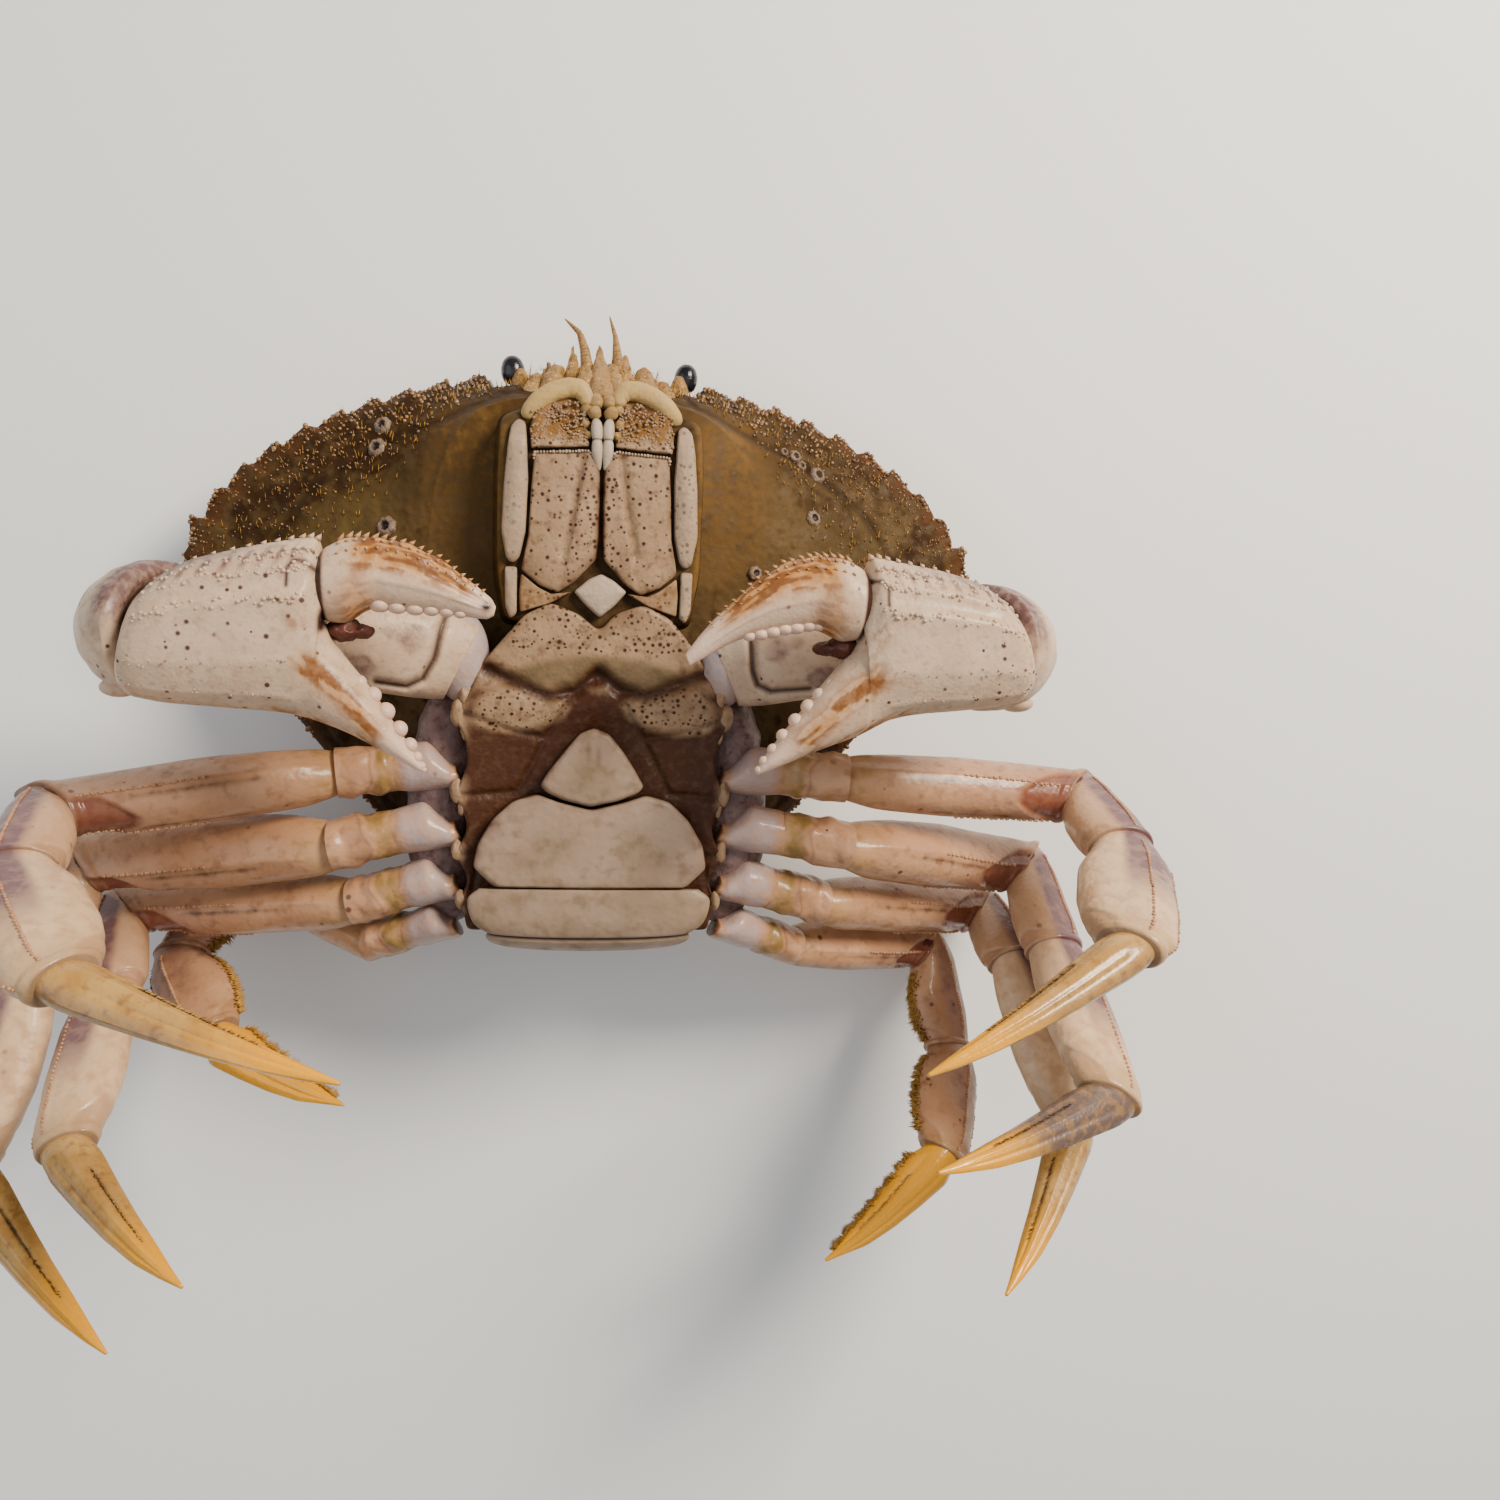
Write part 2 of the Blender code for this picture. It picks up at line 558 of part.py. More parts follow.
def build_claw(side_name):
    side = 1 if side_name == "left" else -1
    shift_x, shift_y = CLAW_SHIFT[side_name]

    def move(point):
        return Vector((-side * (point.x + shift_x), point.y + shift_y, point.z))

    def reach(point):
        share = min(1.0, max(0.0, (-point.x - 26.0) / 38.0))
        return Vector((-side * (point.x + shift_x * share), point.y + shift_y * share, point.z))

    # The wrist's flat inner face leans, and the arm and the palm both end on it.
    lean = Vector((20.0, 0.0, 6.0)).normalized()
    face = Vector((-68.0, 0.0, 50.0))

    def trimmed(rings, gap, which):
        for point in rings[which]:
            point.x -= ((point - face).dot(lean) - gap) / lean.x
        return rings

    arm = trimmed(claw_rings(ARM_RINGS), GAP / 2.0, -1)
    origin = reach(Vector(ARM_RINGS[0][:3]))
    loft("claw_arm_" + side_name, [[reach(p) for p in ring] for ring in arm], origin, CLAW_WHITE)

    wrist = bmesh.new()
    bmesh.ops.create_uvsphere(wrist, u_segments=18, v_segments=12, radius=1.0)
    centre = Vector((-73.0, 1.5, 60.0))
    for vert in wrist.verts:
        vert.co = centre + Vector((vert.co.x * 12.7, vert.co.y * 11.4, vert.co.z * 16.0))
    cut = bmesh.ops.bisect_plane(
        wrist, geom=wrist.verts[:] + wrist.edges[:] + wrist.faces[:],
        plane_co=face - lean * (GAP / 2.0), plane_no=lean, clear_outer=True,
    )
    rim = [item for item in cut["geom_cut"] if isinstance(item, bmesh.types.BMEdge)]
    bmesh.ops.edgeloop_fill(wrist, edges=rim)
    for vert in wrist.verts:
        vert.co = (move(vert.co) - move(centre)) * MM
    face_out(wrist)
    bmesh.ops.triangulate(wrist, faces=wrist.faces)
    mesh = bpy.data.meshes.new("claw_wrist_" + side_name)
    wrist.to_mesh(mesh)
    wrist.free()
    add_object("claw_wrist_" + side_name, mesh, move(centre), CLAW_WHITE, parts)

    wrist_x = PALM_RINGS[0][0]
    palm_rows = stretched(PALM_RINGS, wrist_x, PALM_LENGTH[side_name])
    rings = trimmed(claw_rings(palm_rows), GAP / 2.0, 0)
    origin = move(Vector(palm_rows[0][:3]))
    palm = loft("claw_palm_" + side_name, [[move(p) for p in ring] for ring in rings], origin, CLAW_WHITE)
    studs(palm_rows[6:], 1.0, 7, 1.35, False, HINGE, 0.0, move)
    fuse(palm, studs_now)

    turn = FINGER_CLOSED[side_name]
    longer = FINGER_LENGTH[side_name]
    hinge = Vector((mix(wrist_x, HINGE.x, PALM_LENGTH[side_name]), HINGE.y, HINGE.z))
    finger_rows = [
        (hinge.x + (x - HINGE.x) * (longer if x > HINGE.x else 1.0), *rest) for x, *rest in FINGER_RINGS
    ]
    rings = [[move(p) for p in ring] for ring in claw_rings(finger_rows, hinge, turn)]
    finger = loft("claw_finger_" + side_name, rings, move(hinge), CLAW_WHITE)
    studs(finger_rows[2:], -1.0, 7, 1.3, False, hinge, turn, move)
    studs(finger_rows[2:], 1.0, 8, 0.8, True, hinge, turn, move)
    fuse(finger, studs_now)


clear_scene()
parts = new_collection("dungeness_crab")
studs_now = new_collection("cutters")
crab = bpy.data.objects.new("crab_origin", None)
parts.objects.link(crab)

build_shell()
build_sternum()
build_telson()
build_apron()
build_mouth()
build_face()
for side_name in ("left", "right"):
    for number in (1, 2, 3, 4):
        build_leg(side_name, number)
    build_claw(side_name)
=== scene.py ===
# Looks of a Dungeness crab that lies on its back, legs and claws folded over its underside.
# Lengths in the code are millimetres; makePiece turns them into metres.

import bpy
import numpy as np
from mathutils import Matrix, Vector


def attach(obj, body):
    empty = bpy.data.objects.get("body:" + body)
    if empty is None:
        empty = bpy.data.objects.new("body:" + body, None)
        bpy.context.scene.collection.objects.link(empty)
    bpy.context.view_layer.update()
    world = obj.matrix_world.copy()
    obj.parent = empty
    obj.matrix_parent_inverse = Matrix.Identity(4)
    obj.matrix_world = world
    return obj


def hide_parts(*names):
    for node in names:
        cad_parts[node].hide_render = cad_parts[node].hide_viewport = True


mm = 0.001
fullTurn = 2 * np.pi
sides = {"left": 1, "right": -1}  # the sign of X on each side of the crab
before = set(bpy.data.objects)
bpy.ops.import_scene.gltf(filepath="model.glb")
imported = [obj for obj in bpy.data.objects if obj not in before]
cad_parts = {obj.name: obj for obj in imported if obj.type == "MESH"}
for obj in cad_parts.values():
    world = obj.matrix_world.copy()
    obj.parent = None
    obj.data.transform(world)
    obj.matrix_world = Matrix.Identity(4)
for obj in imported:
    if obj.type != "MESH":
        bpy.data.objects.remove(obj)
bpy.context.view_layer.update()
print("frame loaded")


# Small tools on whole arrays

def unit(v):  # each vector divided by its own length
    return v / np.linalg.norm(v, axis=-1, keepdims=True)


def ease(low, high, x):  # 0 at low, 1 at high, whichever is larger, and an S-shaped cubic between
    t = np.clip((x - low) / (high - low), 0.0, 1.0)
    return t * t * (3.0 - 2.0 * t)


def bump(x, middle, width):  # a bell curve: 1 at the middle, 0.37 at one width from it
    return np.exp(-((x - middle) / width) ** 2)


def soften(line, times):  # each point but the ends becomes half itself and a quarter of each neighbour
    for _ in range(times):
        line[1:-1] = 0.25 * line[:-2] + 0.5 * line[1:-1] + 0.25 * line[2:]
    return line


def spread(rows, count, softness):  # evenly spaced rows of numbers joined by straight lines, softened
    rows = np.array(rows, float)
    at = np.linspace(0, len(rows) - 1, count)
    line = np.stack([np.interp(at, np.arange(len(rows)), column) for column in rows.T], 1)
    return soften(line, softness)


def spreadAt(rows, count, softness):  # the same, with the place along the length in front of each row
    rows = np.array(rows, float)
    at = np.linspace(0.0, 1.0, count)
    line = np.stack([np.interp(at, rows[:, 0], column) for column in rows.T[1:]], 1)
    return soften(line, softness)


def wobble(points, size, seed, waves=14):  # 1.6 times the mean of sine waves in mixed directions
    dice = np.random.default_rng(seed)
    ways = dice.normal(size=(points.shape[-1], waves)) * (2.0 / size)
    return np.sin(points @ ways + dice.uniform(0, 6.28, waves)).mean(-1) * 1.6


def runAlong(line):  # the length walked to each point of a line
    return np.concatenate([[0.0], np.cumsum(np.linalg.norm(np.diff(line, axis=0), axis=1))])


def lineGap(x, y, line):  # distance from each point to the nearest stretch of a line
    nearest = np.full(np.shape(x), 1e9)
    for (ax, ay), (bx, by) in zip(line, line[1:]):
        dx, dy = bx - ax, by - ay
        t = np.clip(((x - ax) * dx + (y - ay) * dy) / (dx * dx + dy * dy), 0.0, 1.0)
        nearest = np.minimum(nearest, np.hypot(x - ax - t * dx, y - ay - t * dy))
    return nearest


def oval(count, power):  # cosine and sine to the power 2 / power: an ellipse at 2, a rounded box above
    angle = np.arange(count) * fullTurn / count
    c, s = np.cos(angle), np.sin(angle)
    return angle, np.sign(c) * abs(c) ** (2.0 / power), np.sign(s) * abs(s) ** (2.0 / power)


# Patches of mesh, and the pieces made of them

def faceOut(points, quads, tris):  # where the volume inside the faces comes out below nought, they turn
    corners = np.concatenate([quads[:, [0, 1, 2]], quads[:, [0, 2, 3]], tris])
    a, b, c = (points[corners[:, k]] for k in range(3))
    if np.einsum("ij,ij->i", a, np.cross(b, c)).sum() < 0.0:
        return quads[:, ::-1], tris[:, ::-1]
    return quads, tris


def tube(rings, **masks):  # rings of points one after another, closed by a point at each end's middle
    rows, around = rings.shape[:2]
    points = np.concatenate([rings.reshape(-1, 3), rings[:1].mean(1), rings[-1:].mean(1)])
    row, column = np.meshgrid(np.arange(rows - 1), np.arange(around), indexing="ij")
    a, b = row * around + column, row * around + (column + 1) % around
    quads = np.stack([a, b, b + around, a + around], -1).reshape(-1, 4)
    i = np.arange(around)
    j, last, pole = (i + 1) % around, (rows - 1) * around, rows * around
    tris = np.concatenate([
        np.stack([j, i, np.full(around, pole)], 1),
        np.stack([last + i, last + j, np.full(around, pole + 1)], 1),
    ])
    quads, tris = faceOut(points, quads, tris)
    flat = {}
    for key, mask in masks.items():
        mask = np.broadcast_to(mask, (rows, around))
        flat[key] = np.concatenate([mask.ravel(), mask[:1].mean(1), mask[-1:].mean(1)])
    return {"points": points, "quads": quads, "tris": tris, "masks": flat}


# Slim hairs and thorns: three corners round each root, and a tip one length along its way
def spikes(roots, ways, lengths, radii, **masks):
    roots, ways = np.atleast_2d(roots), unit(np.atleast_2d(ways))
    count = len(roots)
    lengths, radii = np.broadcast_to(lengths, count), np.broadcast_to(radii, count)
    slant = np.array([0.31, 0.52, 0.79])  # no way lies along it
    side = unit(np.cross(ways, slant))
    other = np.cross(ways, side)
    thirds = (0.0, 2.094, 4.189)
    corners = [roots + (side * np.cos(a) + other * np.sin(a)) * radii[:, None] for a in thirds]
    points = np.stack([*corners, roots + ways * lengths[:, None]], 1).reshape(-1, 3)
    base = np.arange(count)[:, None] * 4
    one = np.array([[0, 2, 1], [0, 1, 3], [1, 2, 3], [2, 0, 3]])
    tris = (base[:, :, None] + one).reshape(-1, 3)
    quads, tris = faceOut(points, np.zeros((0, 4), int), tris)
    flat = {key: np.repeat(np.broadcast_to(mask, count), 4) for key, mask in masks.items()}
    return {"points": points, "quads": quads, "tris": tris, "masks": flat}


# Many small balls: one ball's points, times each bead's radius (one, or three as x, y, z), at its centre
def beads(centres, radii, around=8, rows=5, **masks):
    centres = np.atleast_2d(centres)
    radii = np.asarray(radii, float)
    oneEach = radii.ndim == 1 and len(radii) != 3
    radii = np.broadcast_to(radii[:, None] if oneEach else radii, (len(centres), 3))
    up = np.linspace(0, np.pi, rows + 2)[1:-1]
    turn = np.arange(around) * fullTurn / around
    ball = np.stack([
        np.outer(np.sin(up), np.cos(turn)), np.outer(np.sin(up), np.sin(turn)),
        np.repeat(np.cos(up)[:, None], around, 1),
    ], -1)
    one = tube(ball)
    poles = np.array([[0, 0, 1.0], [0, 0, -1.0]])
    shape = np.concatenate([one["points"][:-2], poles])
    count, size = len(centres), len(shape)
    points = (centres[:, None] + shape[None] * radii[:, None]).reshape(-1, 3)
    step = np.arange(count)[:, None, None] * size
    flat = {key: np.repeat(np.broadcast_to(mask, count), size) for key, mask in masks.items()}
    return {
        "points": points, "quads": (step + one["quads"]).reshape(-1, 4),
        "tris": (step + one["tris"]).reshape(-1, 3), "masks": flat,
    }


def crumple(patch, size, seed, depth):  # smooth lumps, the same amount along x, y and z
    patch["points"] += wobble(patch["points"], size, seed)[:, None] * depth
    return patch


# One object of a few patches: their points and faces end to end, a mask a patch lacks being nought
def makePiece(name, patches, look, nodes=()):
    keys = sorted({key for patch in patches for key in patch["masks"]})
    points = np.concatenate([patch["points"] for patch in patches])
    starts = np.cumsum([0] + [len(patch["points"]) for patch in patches])
    quads = np.concatenate([patch["quads"] + at for patch, at in zip(patches, starts)])
    tris = np.concatenate([patch["tris"] + at for patch, at in zip(patches, starts)])
    mesh = bpy.data.meshes.new(name)
    mesh.vertices.add(len(points))
    mesh.vertices.foreach_set("co", (points * mm).astype(np.float32).ravel())
    corners = np.concatenate([quads.ravel(), tris.ravel()])
    mesh.loops.add(len(corners))
    mesh.loops.foreach_set("vertex_index", corners.astype(np.int32))
    totals = np.concatenate([np.full(len(quads), 4), np.full(len(tris), 3)])
    mesh.polygons.add(len(totals))
    mesh.polygons.foreach_set("loop_start", (np.cumsum(totals) - totals).astype(np.int32))
    mesh.polygons.foreach_set("use_smooth", np.ones(len(totals), bool))
    for key in keys:
        held = [patch["masks"].get(key, np.zeros(len(patch["points"]))) for patch in patches]
        values = np.concatenate(held)
        mesh.attributes.new(key, "FLOAT", "POINT").data.foreach_set("value", values.astype(np.float32))
    mesh.update()
    mesh.validate()
    piece = bpy.data.objects.new(name, mesh)
    bpy.context.scene.collection.objects.link(piece)
    mesh.materials.append(looks[look])
    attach(piece, "root")
    if nodes:
        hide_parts(*nodes)


# Looks: shared effects are node groups that give masks, colours and heights

def newGroup(name, sockets):  # a socket is its label, its way in or out, its kind and first value
    tree = bpy.data.node_groups.new(name, "ShaderNodeTree")
    for label, way, kind, value in sockets:
        socket = tree.interface.new_socket(label, in_out=way, socket_type="NodeSocket" + kind)
        if value is not None:
            socket.default_value = value
    return tree, tree.nodes.new("NodeGroupInput"), tree.nodes.new("NodeGroupOutput")


def addNode(tree, kind, inputs=None, **settings):  # an input is another node's socket or a plain value
    node = tree.nodes.new("ShaderNode" + kind)
    for key, value in settings.items():
        setattr(node, key, value)
    for key, value in (inputs or {}).items():
        if isinstance(value, bpy.types.NodeSocket):
            tree.links.new(value, node.inputs[key])
        else:
            node.inputs[key].default_value = value
    return node


def mixColour(tree, factor, first, second):  # the first colour at factor 0, the second at 1
    return addNode(tree, "Mix", {0: factor, 6: first, 7: second}, data_type="RGBA").outputs[2]


def math(tree, operation, first, second=0.0):  # one operation on two values
    return addNode(tree, "Math", {0: first, 1: second}, operation=operation).outputs[0]


def rangeOf(tree, value, low, high, start=0.0, end=1.0):  # start at low, end at high, held beyond
    return addNode(tree, "MapRange", {0: value, 1: low, 2: high, 3: start, 4: end}).outputs[0]


def maskOf(tree, name):  # one of the piece's own masks
    return addNode(tree, "Attribute", attribute_name=name).outputs["Fac"]


def rgb(r, g, b):  # red, green and blue with full alpha
    return (r, g, b, 1.0)


def makeMottle():  # three colours mixed by a broad noise and a finer one
    tree, enter, leave = newGroup("mottle", [
        ("Place", "INPUT", "Vector", None), ("Patch Size", "INPUT", "Float", 8.0),
        ("Pale", "INPUT", "Color", None), ("Middle", "INPUT", "Color", None),
        ("Dark", "INPUT", "Color", None),
        ("Colour", "OUTPUT", "Color", None), ("Noise", "OUTPUT", "Float", None),
    ])
    place = enter.outputs["Place"]
    scale = math(tree, "DIVIDE", 1.0, enter.outputs["Patch Size"])
    broad = addNode(tree, "TexNoise", {"Vector": place, "Scale": scale, "Detail": 5.0}).outputs[0]
    finer = math(tree, "MULTIPLY", scale, 3.7)
    fine = addNode(tree, "TexNoise", {"Vector": place, "Scale": finer, "Detail": 6.0}).outputs[0]
    pale = rangeOf(tree, broad, 0.38, 0.62)
    first = mixColour(tree, pale, enter.outputs["Pale"], enter.outputs["Middle"])
    both = mixColour(tree, rangeOf(tree, fine, 0.52, 0.72), first, enter.outputs["Dark"])
    tree.links.new(both, leave.inputs["Colour"])
    tree.links.new(fine, leave.inputs["Noise"])
    return tree


def makeSpecks():  # small round dots, one in each cell that the share lets through
    tree, enter, leave = newGroup("specks", [
        ("Place", "INPUT", "Vector", None), ("Spacing", "INPUT", "Float", 1.5),
        ("Size", "INPUT", "Float", 0.25), ("Share", "INPUT", "Float", 0.8),
        ("Mask", "OUTPUT", "Float", None),
    ])
    scale = math(tree, "DIVIDE", 1.0, enter.outputs["Spacing"])
    place = {"Vector": enter.outputs["Place"], "Scale": scale, "Randomness": 0.9}
    cells = addNode(tree, "TexVoronoi", place)
    pick = addNode(tree, "SeparateColor", {0: cells.outputs["Color"]})
    size = math(tree, "MULTIPLY", enter.outputs["Size"], math(tree, "ADD", pick.outputs[1], 0.45))
    edge = math(tree, "MULTIPLY", size, 0.55)
    dot = rangeOf(tree, cells.outputs["Distance"], edge, size, 1.0, 0.0)
    kept = math(tree, "LESS_THAN", pick.outputs[0], enter.outputs["Share"])
    tree.links.new(math(tree, "MULTIPLY", dot, kept), leave.inputs["Mask"])
    return tree


def makeGrains():  # rounded grains close together, over a fine roughness
    tree, enter, leave = newGroup("grains", [
        ("Place", "INPUT", "Vector", None), ("Spacing", "INPUT", "Float", 1.0),
        ("Fine", "INPUT", "Float", 0.3), ("Height", "OUTPUT", "Float", None),
    ])
    place = enter.outputs["Place"]
    scale = math(tree, "DIVIDE", 1.0, enter.outputs["Spacing"])
    cells = addNode(tree, "TexVoronoi", {"Vector": place, "Scale": scale}, feature="SMOOTH_F1")
    dome = rangeOf(tree, cells.outputs["Distance"], 0.0, 0.6, 1.0, 0.0)
    finer = math(tree, "MULTIPLY", scale, 4.0)
    noise = addNode(tree, "TexNoise", {"Vector": place, "Scale": finer, "Detail": 4.0}).outputs[0]
    rough = math(tree, "MULTIPLY", noise, enter.outputs["Fine"])
    tree.links.new(math(tree, "ADD", dome, rough), leave.inputs["Height"])
    return tree


mottle, specks, grains = makeMottle(), makeSpecks(), makeGrains()


# One finish. ground: patch size, pale, middle and dark colour. layers: the mask that holds a colour, the
# colour, and how far noise eats into it. dots: spacing, size, share, colour, and the mask that holds them.
# grain: spacing, fine roughness and strength. gloss: the lowest roughness and how much noise adds.
def makeLook(name, ground, layers=(), dots=None, grain=(1.0, 0.3, 0.15), gloss=(0.35, 0.2), coat=0.0,
             glow=0.0, shine=0.3):
    look = bpy.data.materials.new(name)
    look.use_nodes = True
    tree = look.node_tree
    shader = tree.nodes["Principled BSDF"]
    spot = addNode(tree, "TexCoord").outputs["Object"]
    place = addNode(tree, "Mapping", {0: spot, "Scale": (1000.0, 1000.0, 1000.0)}).outputs[0]
    size, pale, middle, dark = ground
    inks = {"Pale": rgb(*pale), "Middle": rgb(*middle), "Dark": rgb(*dark)}
    base = addNode(tree, "Group", {"Place": place, "Patch Size": size, **inks}, node_tree=mottle)
    colour, noise = base.outputs["Colour"], base.outputs["Noise"]
    if dots:
        spacing, dotSize, share, ink, where = dots
        if where:
            share = math(tree, "MULTIPLY", maskOf(tree, where), share)
        spots = {"Place": place, "Spacing": spacing, "Size": dotSize, "Share": share}
        mask = addNode(tree, "Group", spots, node_tree=specks).outputs[0]
        colour = mixColour(tree, mask, colour, rgb(*ink))
    for key, ink, breakUp in layers:  # breakUp 0 lays the mask on whole
        held = maskOf(tree, key)
        if breakUp:
            patchy = rangeOf(tree, noise, 0.38, 0.62, 1.0 - breakUp, 1.0 + breakUp)
            eaten = addNode(tree, "Math", {0: held, 1: patchy}, operation="MULTIPLY", use_clamp=True)
            held = eaten.outputs[0]
        colour = mixColour(tree, held, colour, rgb(*ink))
    spacing, fine, strength = grain
    height = addNode(tree, "Group", {"Place": place, "Spacing": spacing, "Fine": fine}, node_tree=grains)
    relief = addNode(tree, "Bump", {"Height": height.outputs[0], "Strength": strength, "Distance": 0.0006})
    tree.links.new(relief.outputs[0], shader.inputs["Normal"])
    tree.links.new(colour, shader.inputs["Base Color"])
    low, more = gloss
    tree.links.new(rangeOf(tree, noise, 0.3, 0.7, low, low + more), shader.inputs["Roughness"])
    shader.inputs["Specular IOR Level"].default_value = shine
    shader.inputs["Coat Weight"].default_value = coat
    shader.inputs["Coat Roughness"].default_value = 0.12
    if glow:
        shader.inputs["Subsurface Weight"].default_value = glow
        shader.inputs["Subsurface Radius"].default_value = (0.004, 0.002, 0.001)
    return look


finishes = {
    "shellTop": {
        "ground": (14.0, (0.15, 0.045, 0.02), (0.1, 0.03, 0.016), (0.06, 0.02, 0.012)),
        "layers": [("margin", (0.3, 0.14, 0.055), 0.6), ("seam", (0.04, 0.014, 0.01), 0.0)],
        "dots": (1.6, 0.45, 0.8, (0.26, 0.12, 0.055), None), "grain": (1.1, 0.35, 0.4),
        "gloss": (0.36, 0.25), "coat": 0.12,
    },
    "shellUnder": {
        "ground": (9.0, (0.09, 0.052, 0.018), (0.058, 0.033, 0.011), (0.028, 0.015, 0.006)),
        "layers": [
            ("pale", (0.11, 0.07, 0.02), 0.6), ("front", (0.03, 0.013, 0.004), 0.5),
            ("gold", (0.14, 0.072, 0.018), 0.6), ("margin", (0.075, 0.03, 0.01), 0.6),
            ("seam", (0.016, 0.007, 0.003), 0.0),
        ],
        "dots": (1.2, 0.3, 0.5, (0.22, 0.11, 0.03), "margin"), "grain": (1.4, 0.4, 0.25),
        "gloss": (0.46, 0.3), "coat": 0.0, "shine": 0.1,
    },
    # shellBead: the gold of its bead layer is painted glint on the granules
    "shellBead": {
        "ground": (7.0, (0.1, 0.05, 0.014), (0.06, 0.028, 0.009), (0.03, 0.013, 0.005)),
        "layers": [("bead", (0.32, 0.155, 0.05), 0.3)], "grain": (0.5, 0.3, 0.12), "gloss": (0.2, 0.2),
        "coat": 0.6, "shine": 0.5,
    },
    "plateCream": {
        "ground": (6.0, (0.36, 0.232, 0.132), (0.29, 0.178, 0.098), (0.18, 0.1, 0.052)),
        "layers": [
            ("olive", (0.135, 0.09, 0.042), 0.1), ("brown", (0.05, 0.0145, 0.004), 0.06),
            ("gold", (0.19, 0.085, 0.02), 0.5), ("amber", (0.46, 0.3, 0.105), 0.3),
            ("white", (0.46, 0.37, 0.28), 0.2), ("seam", (0.022, 0.008, 0.004), 0.0),
        ],
        "dots": (1.02, 0.36, 0.95, (0.04, 0.013, 0.007), "dots"), "grain": (0.7, 0.3, 0.14),
        "gloss": (0.38, 0.2), "coat": 0.03, "shine": 0.2,
    },
    "apronCream": {
        "ground": (11.0, (0.34, 0.235, 0.165), (0.28, 0.188, 0.125), (0.21, 0.135, 0.082)),
        "layers": [
            ("olive", (0.2, 0.135, 0.07), 0.4), ("brown", (0.085, 0.034, 0.015), 0.4),
            ("seam", (0.03, 0.012, 0.006), 0.0),
        ],
        "grain": (1.2, 0.35, 0.14), "gloss": (0.36, 0.2), "coat": 0.06, "shine": 0.25,
    },
    "clawWhite": {
        "ground": (5.0, (0.6, 0.43, 0.29), (0.53, 0.365, 0.24), (0.44, 0.285, 0.18)),
        "layers": [
            ("ochre", (0.44, 0.19, 0.045), 0.25), ("plum", (0.13, 0.06, 0.056), 0.2),
            ("stain", (0.19, 0.062, 0.009), 0.2), ("flesh", (0.1, 0.05, 0.034), 0.1),
            ("tip", (0.68, 0.46, 0.34), 0.0), ("seam", (0.035, 0.01, 0.007), 0.0),
        ],
        "dots": (1.9, 0.22, 0.5, (0.07, 0.03, 0.026), "dots"), "grain": (0.6, 0.3, 0.1),
        "gloss": (0.34, 0.22), "coat": 0.12,
    },
    "legCream": {
        "ground": (9.0, (0.5, 0.27, 0.145), (0.42, 0.212, 0.108), (0.31, 0.145, 0.068)),
        "layers": [
            ("pale", (0.68, 0.45, 0.26), 0.4), ("plum", (0.16, 0.078, 0.084), 0.2),
            ("gold", (0.33, 0.19, 0.05), 0.45), ("blue", (0.42, 0.33, 0.32), 0.3),
            ("line", (0.05, 0.02, 0.009), 0.5), ("skin", (0.19, 0.058, 0.03), 0.2),
            ("seam", (0.07, 0.023, 0.013), 0.0),
        ],
        "dots": (2.6, 0.2, 0.18, (0.12, 0.05, 0.026), None), "grain": (0.9, 0.35, 0.14),
        "gloss": (0.28, 0.2), "coat": 0.25, "glow": 0.05,
    },
    "dactylGold": {
        "ground": (6.0, (0.5, 0.29, 0.085), (0.41, 0.21, 0.05), (0.29, 0.13, 0.028)),
        "layers": [
            ("line", (0.045, 0.018, 0.008), 0.3), ("plum", (0.13, 0.085, 0.07), 0.3),
            ("tip", (0.78, 0.34, 0.001), 0.0), ("seam", (0.08, 0.026, 0.015), 0.0),
        ],
        "grain": (0.7, 0.3, 0.12), "gloss": (0.22, 0.2), "coat": 0.4, "glow": 0.1,
    },
    "joint": {
        "ground": (4.0, (0.1, 0.027, 0.016), (0.07, 0.018, 0.011), (0.04, 0.011, 0.008)),
        "grain": (0.6, 0.4, 0.3), "gloss": (0.4, 0.25), "coat": 0.1,
    },
    "legSkin": {
        "ground": (5.0, (0.21, 0.13, 0.12), (0.14, 0.08, 0.072), (0.08, 0.04, 0.034)),
        "grain": (1.6, 0.5, 0.5), "gloss": (0.38, 0.25), "coat": 0.15,
    },
    "eyeBlack": {
        "ground": (3.0, (0.006, 0.006, 0.008), (0.01, 0.01, 0.014), (0.004, 0.004, 0.006)),
        "grain": (0.16, 0.1, 0.12), "gloss": (0.12, 0.08), "coat": 0.4,
    },
    "feelerTan": {
        "ground": (4.0, (0.36, 0.2, 0.065), (0.27, 0.14, 0.04), (0.15, 0.07, 0.022)),
        "layers": [("brown", (0.1, 0.042, 0.015), 0.3)], "dots": (1.0, 0.3, 0.4, (0.5, 0.33, 0.16), None),
        "grain": (0.7, 0.4, 0.3), "gloss": (0.35, 0.2),
    },
    "hair": {
        "ground": (3.0, (0.5, 0.27, 0.055), (0.38, 0.19, 0.034), (0.2, 0.09, 0.02)),
        "grain": (0.4, 0.4, 0.2), "gloss": (0.35, 0.2),
    },
    "barnacle": {
        "ground": (2.0, (0.22, 0.15, 0.1), (0.16, 0.105, 0.07), (0.1, 0.065, 0.042)),
        "layers": [("seam", (0.025, 0.012, 0.008), 0.0)], "grain": (0.5, 0.5, 0.4), "gloss": (0.4, 0.2),
        "coat": 0.1,
    },
}
looks = {name: makeLook(name, **finish) for name, finish in finishes.items()}
print("looks made")


# Back shell: an edge line with its teeth, carried in to the flat it rests on and to the belly

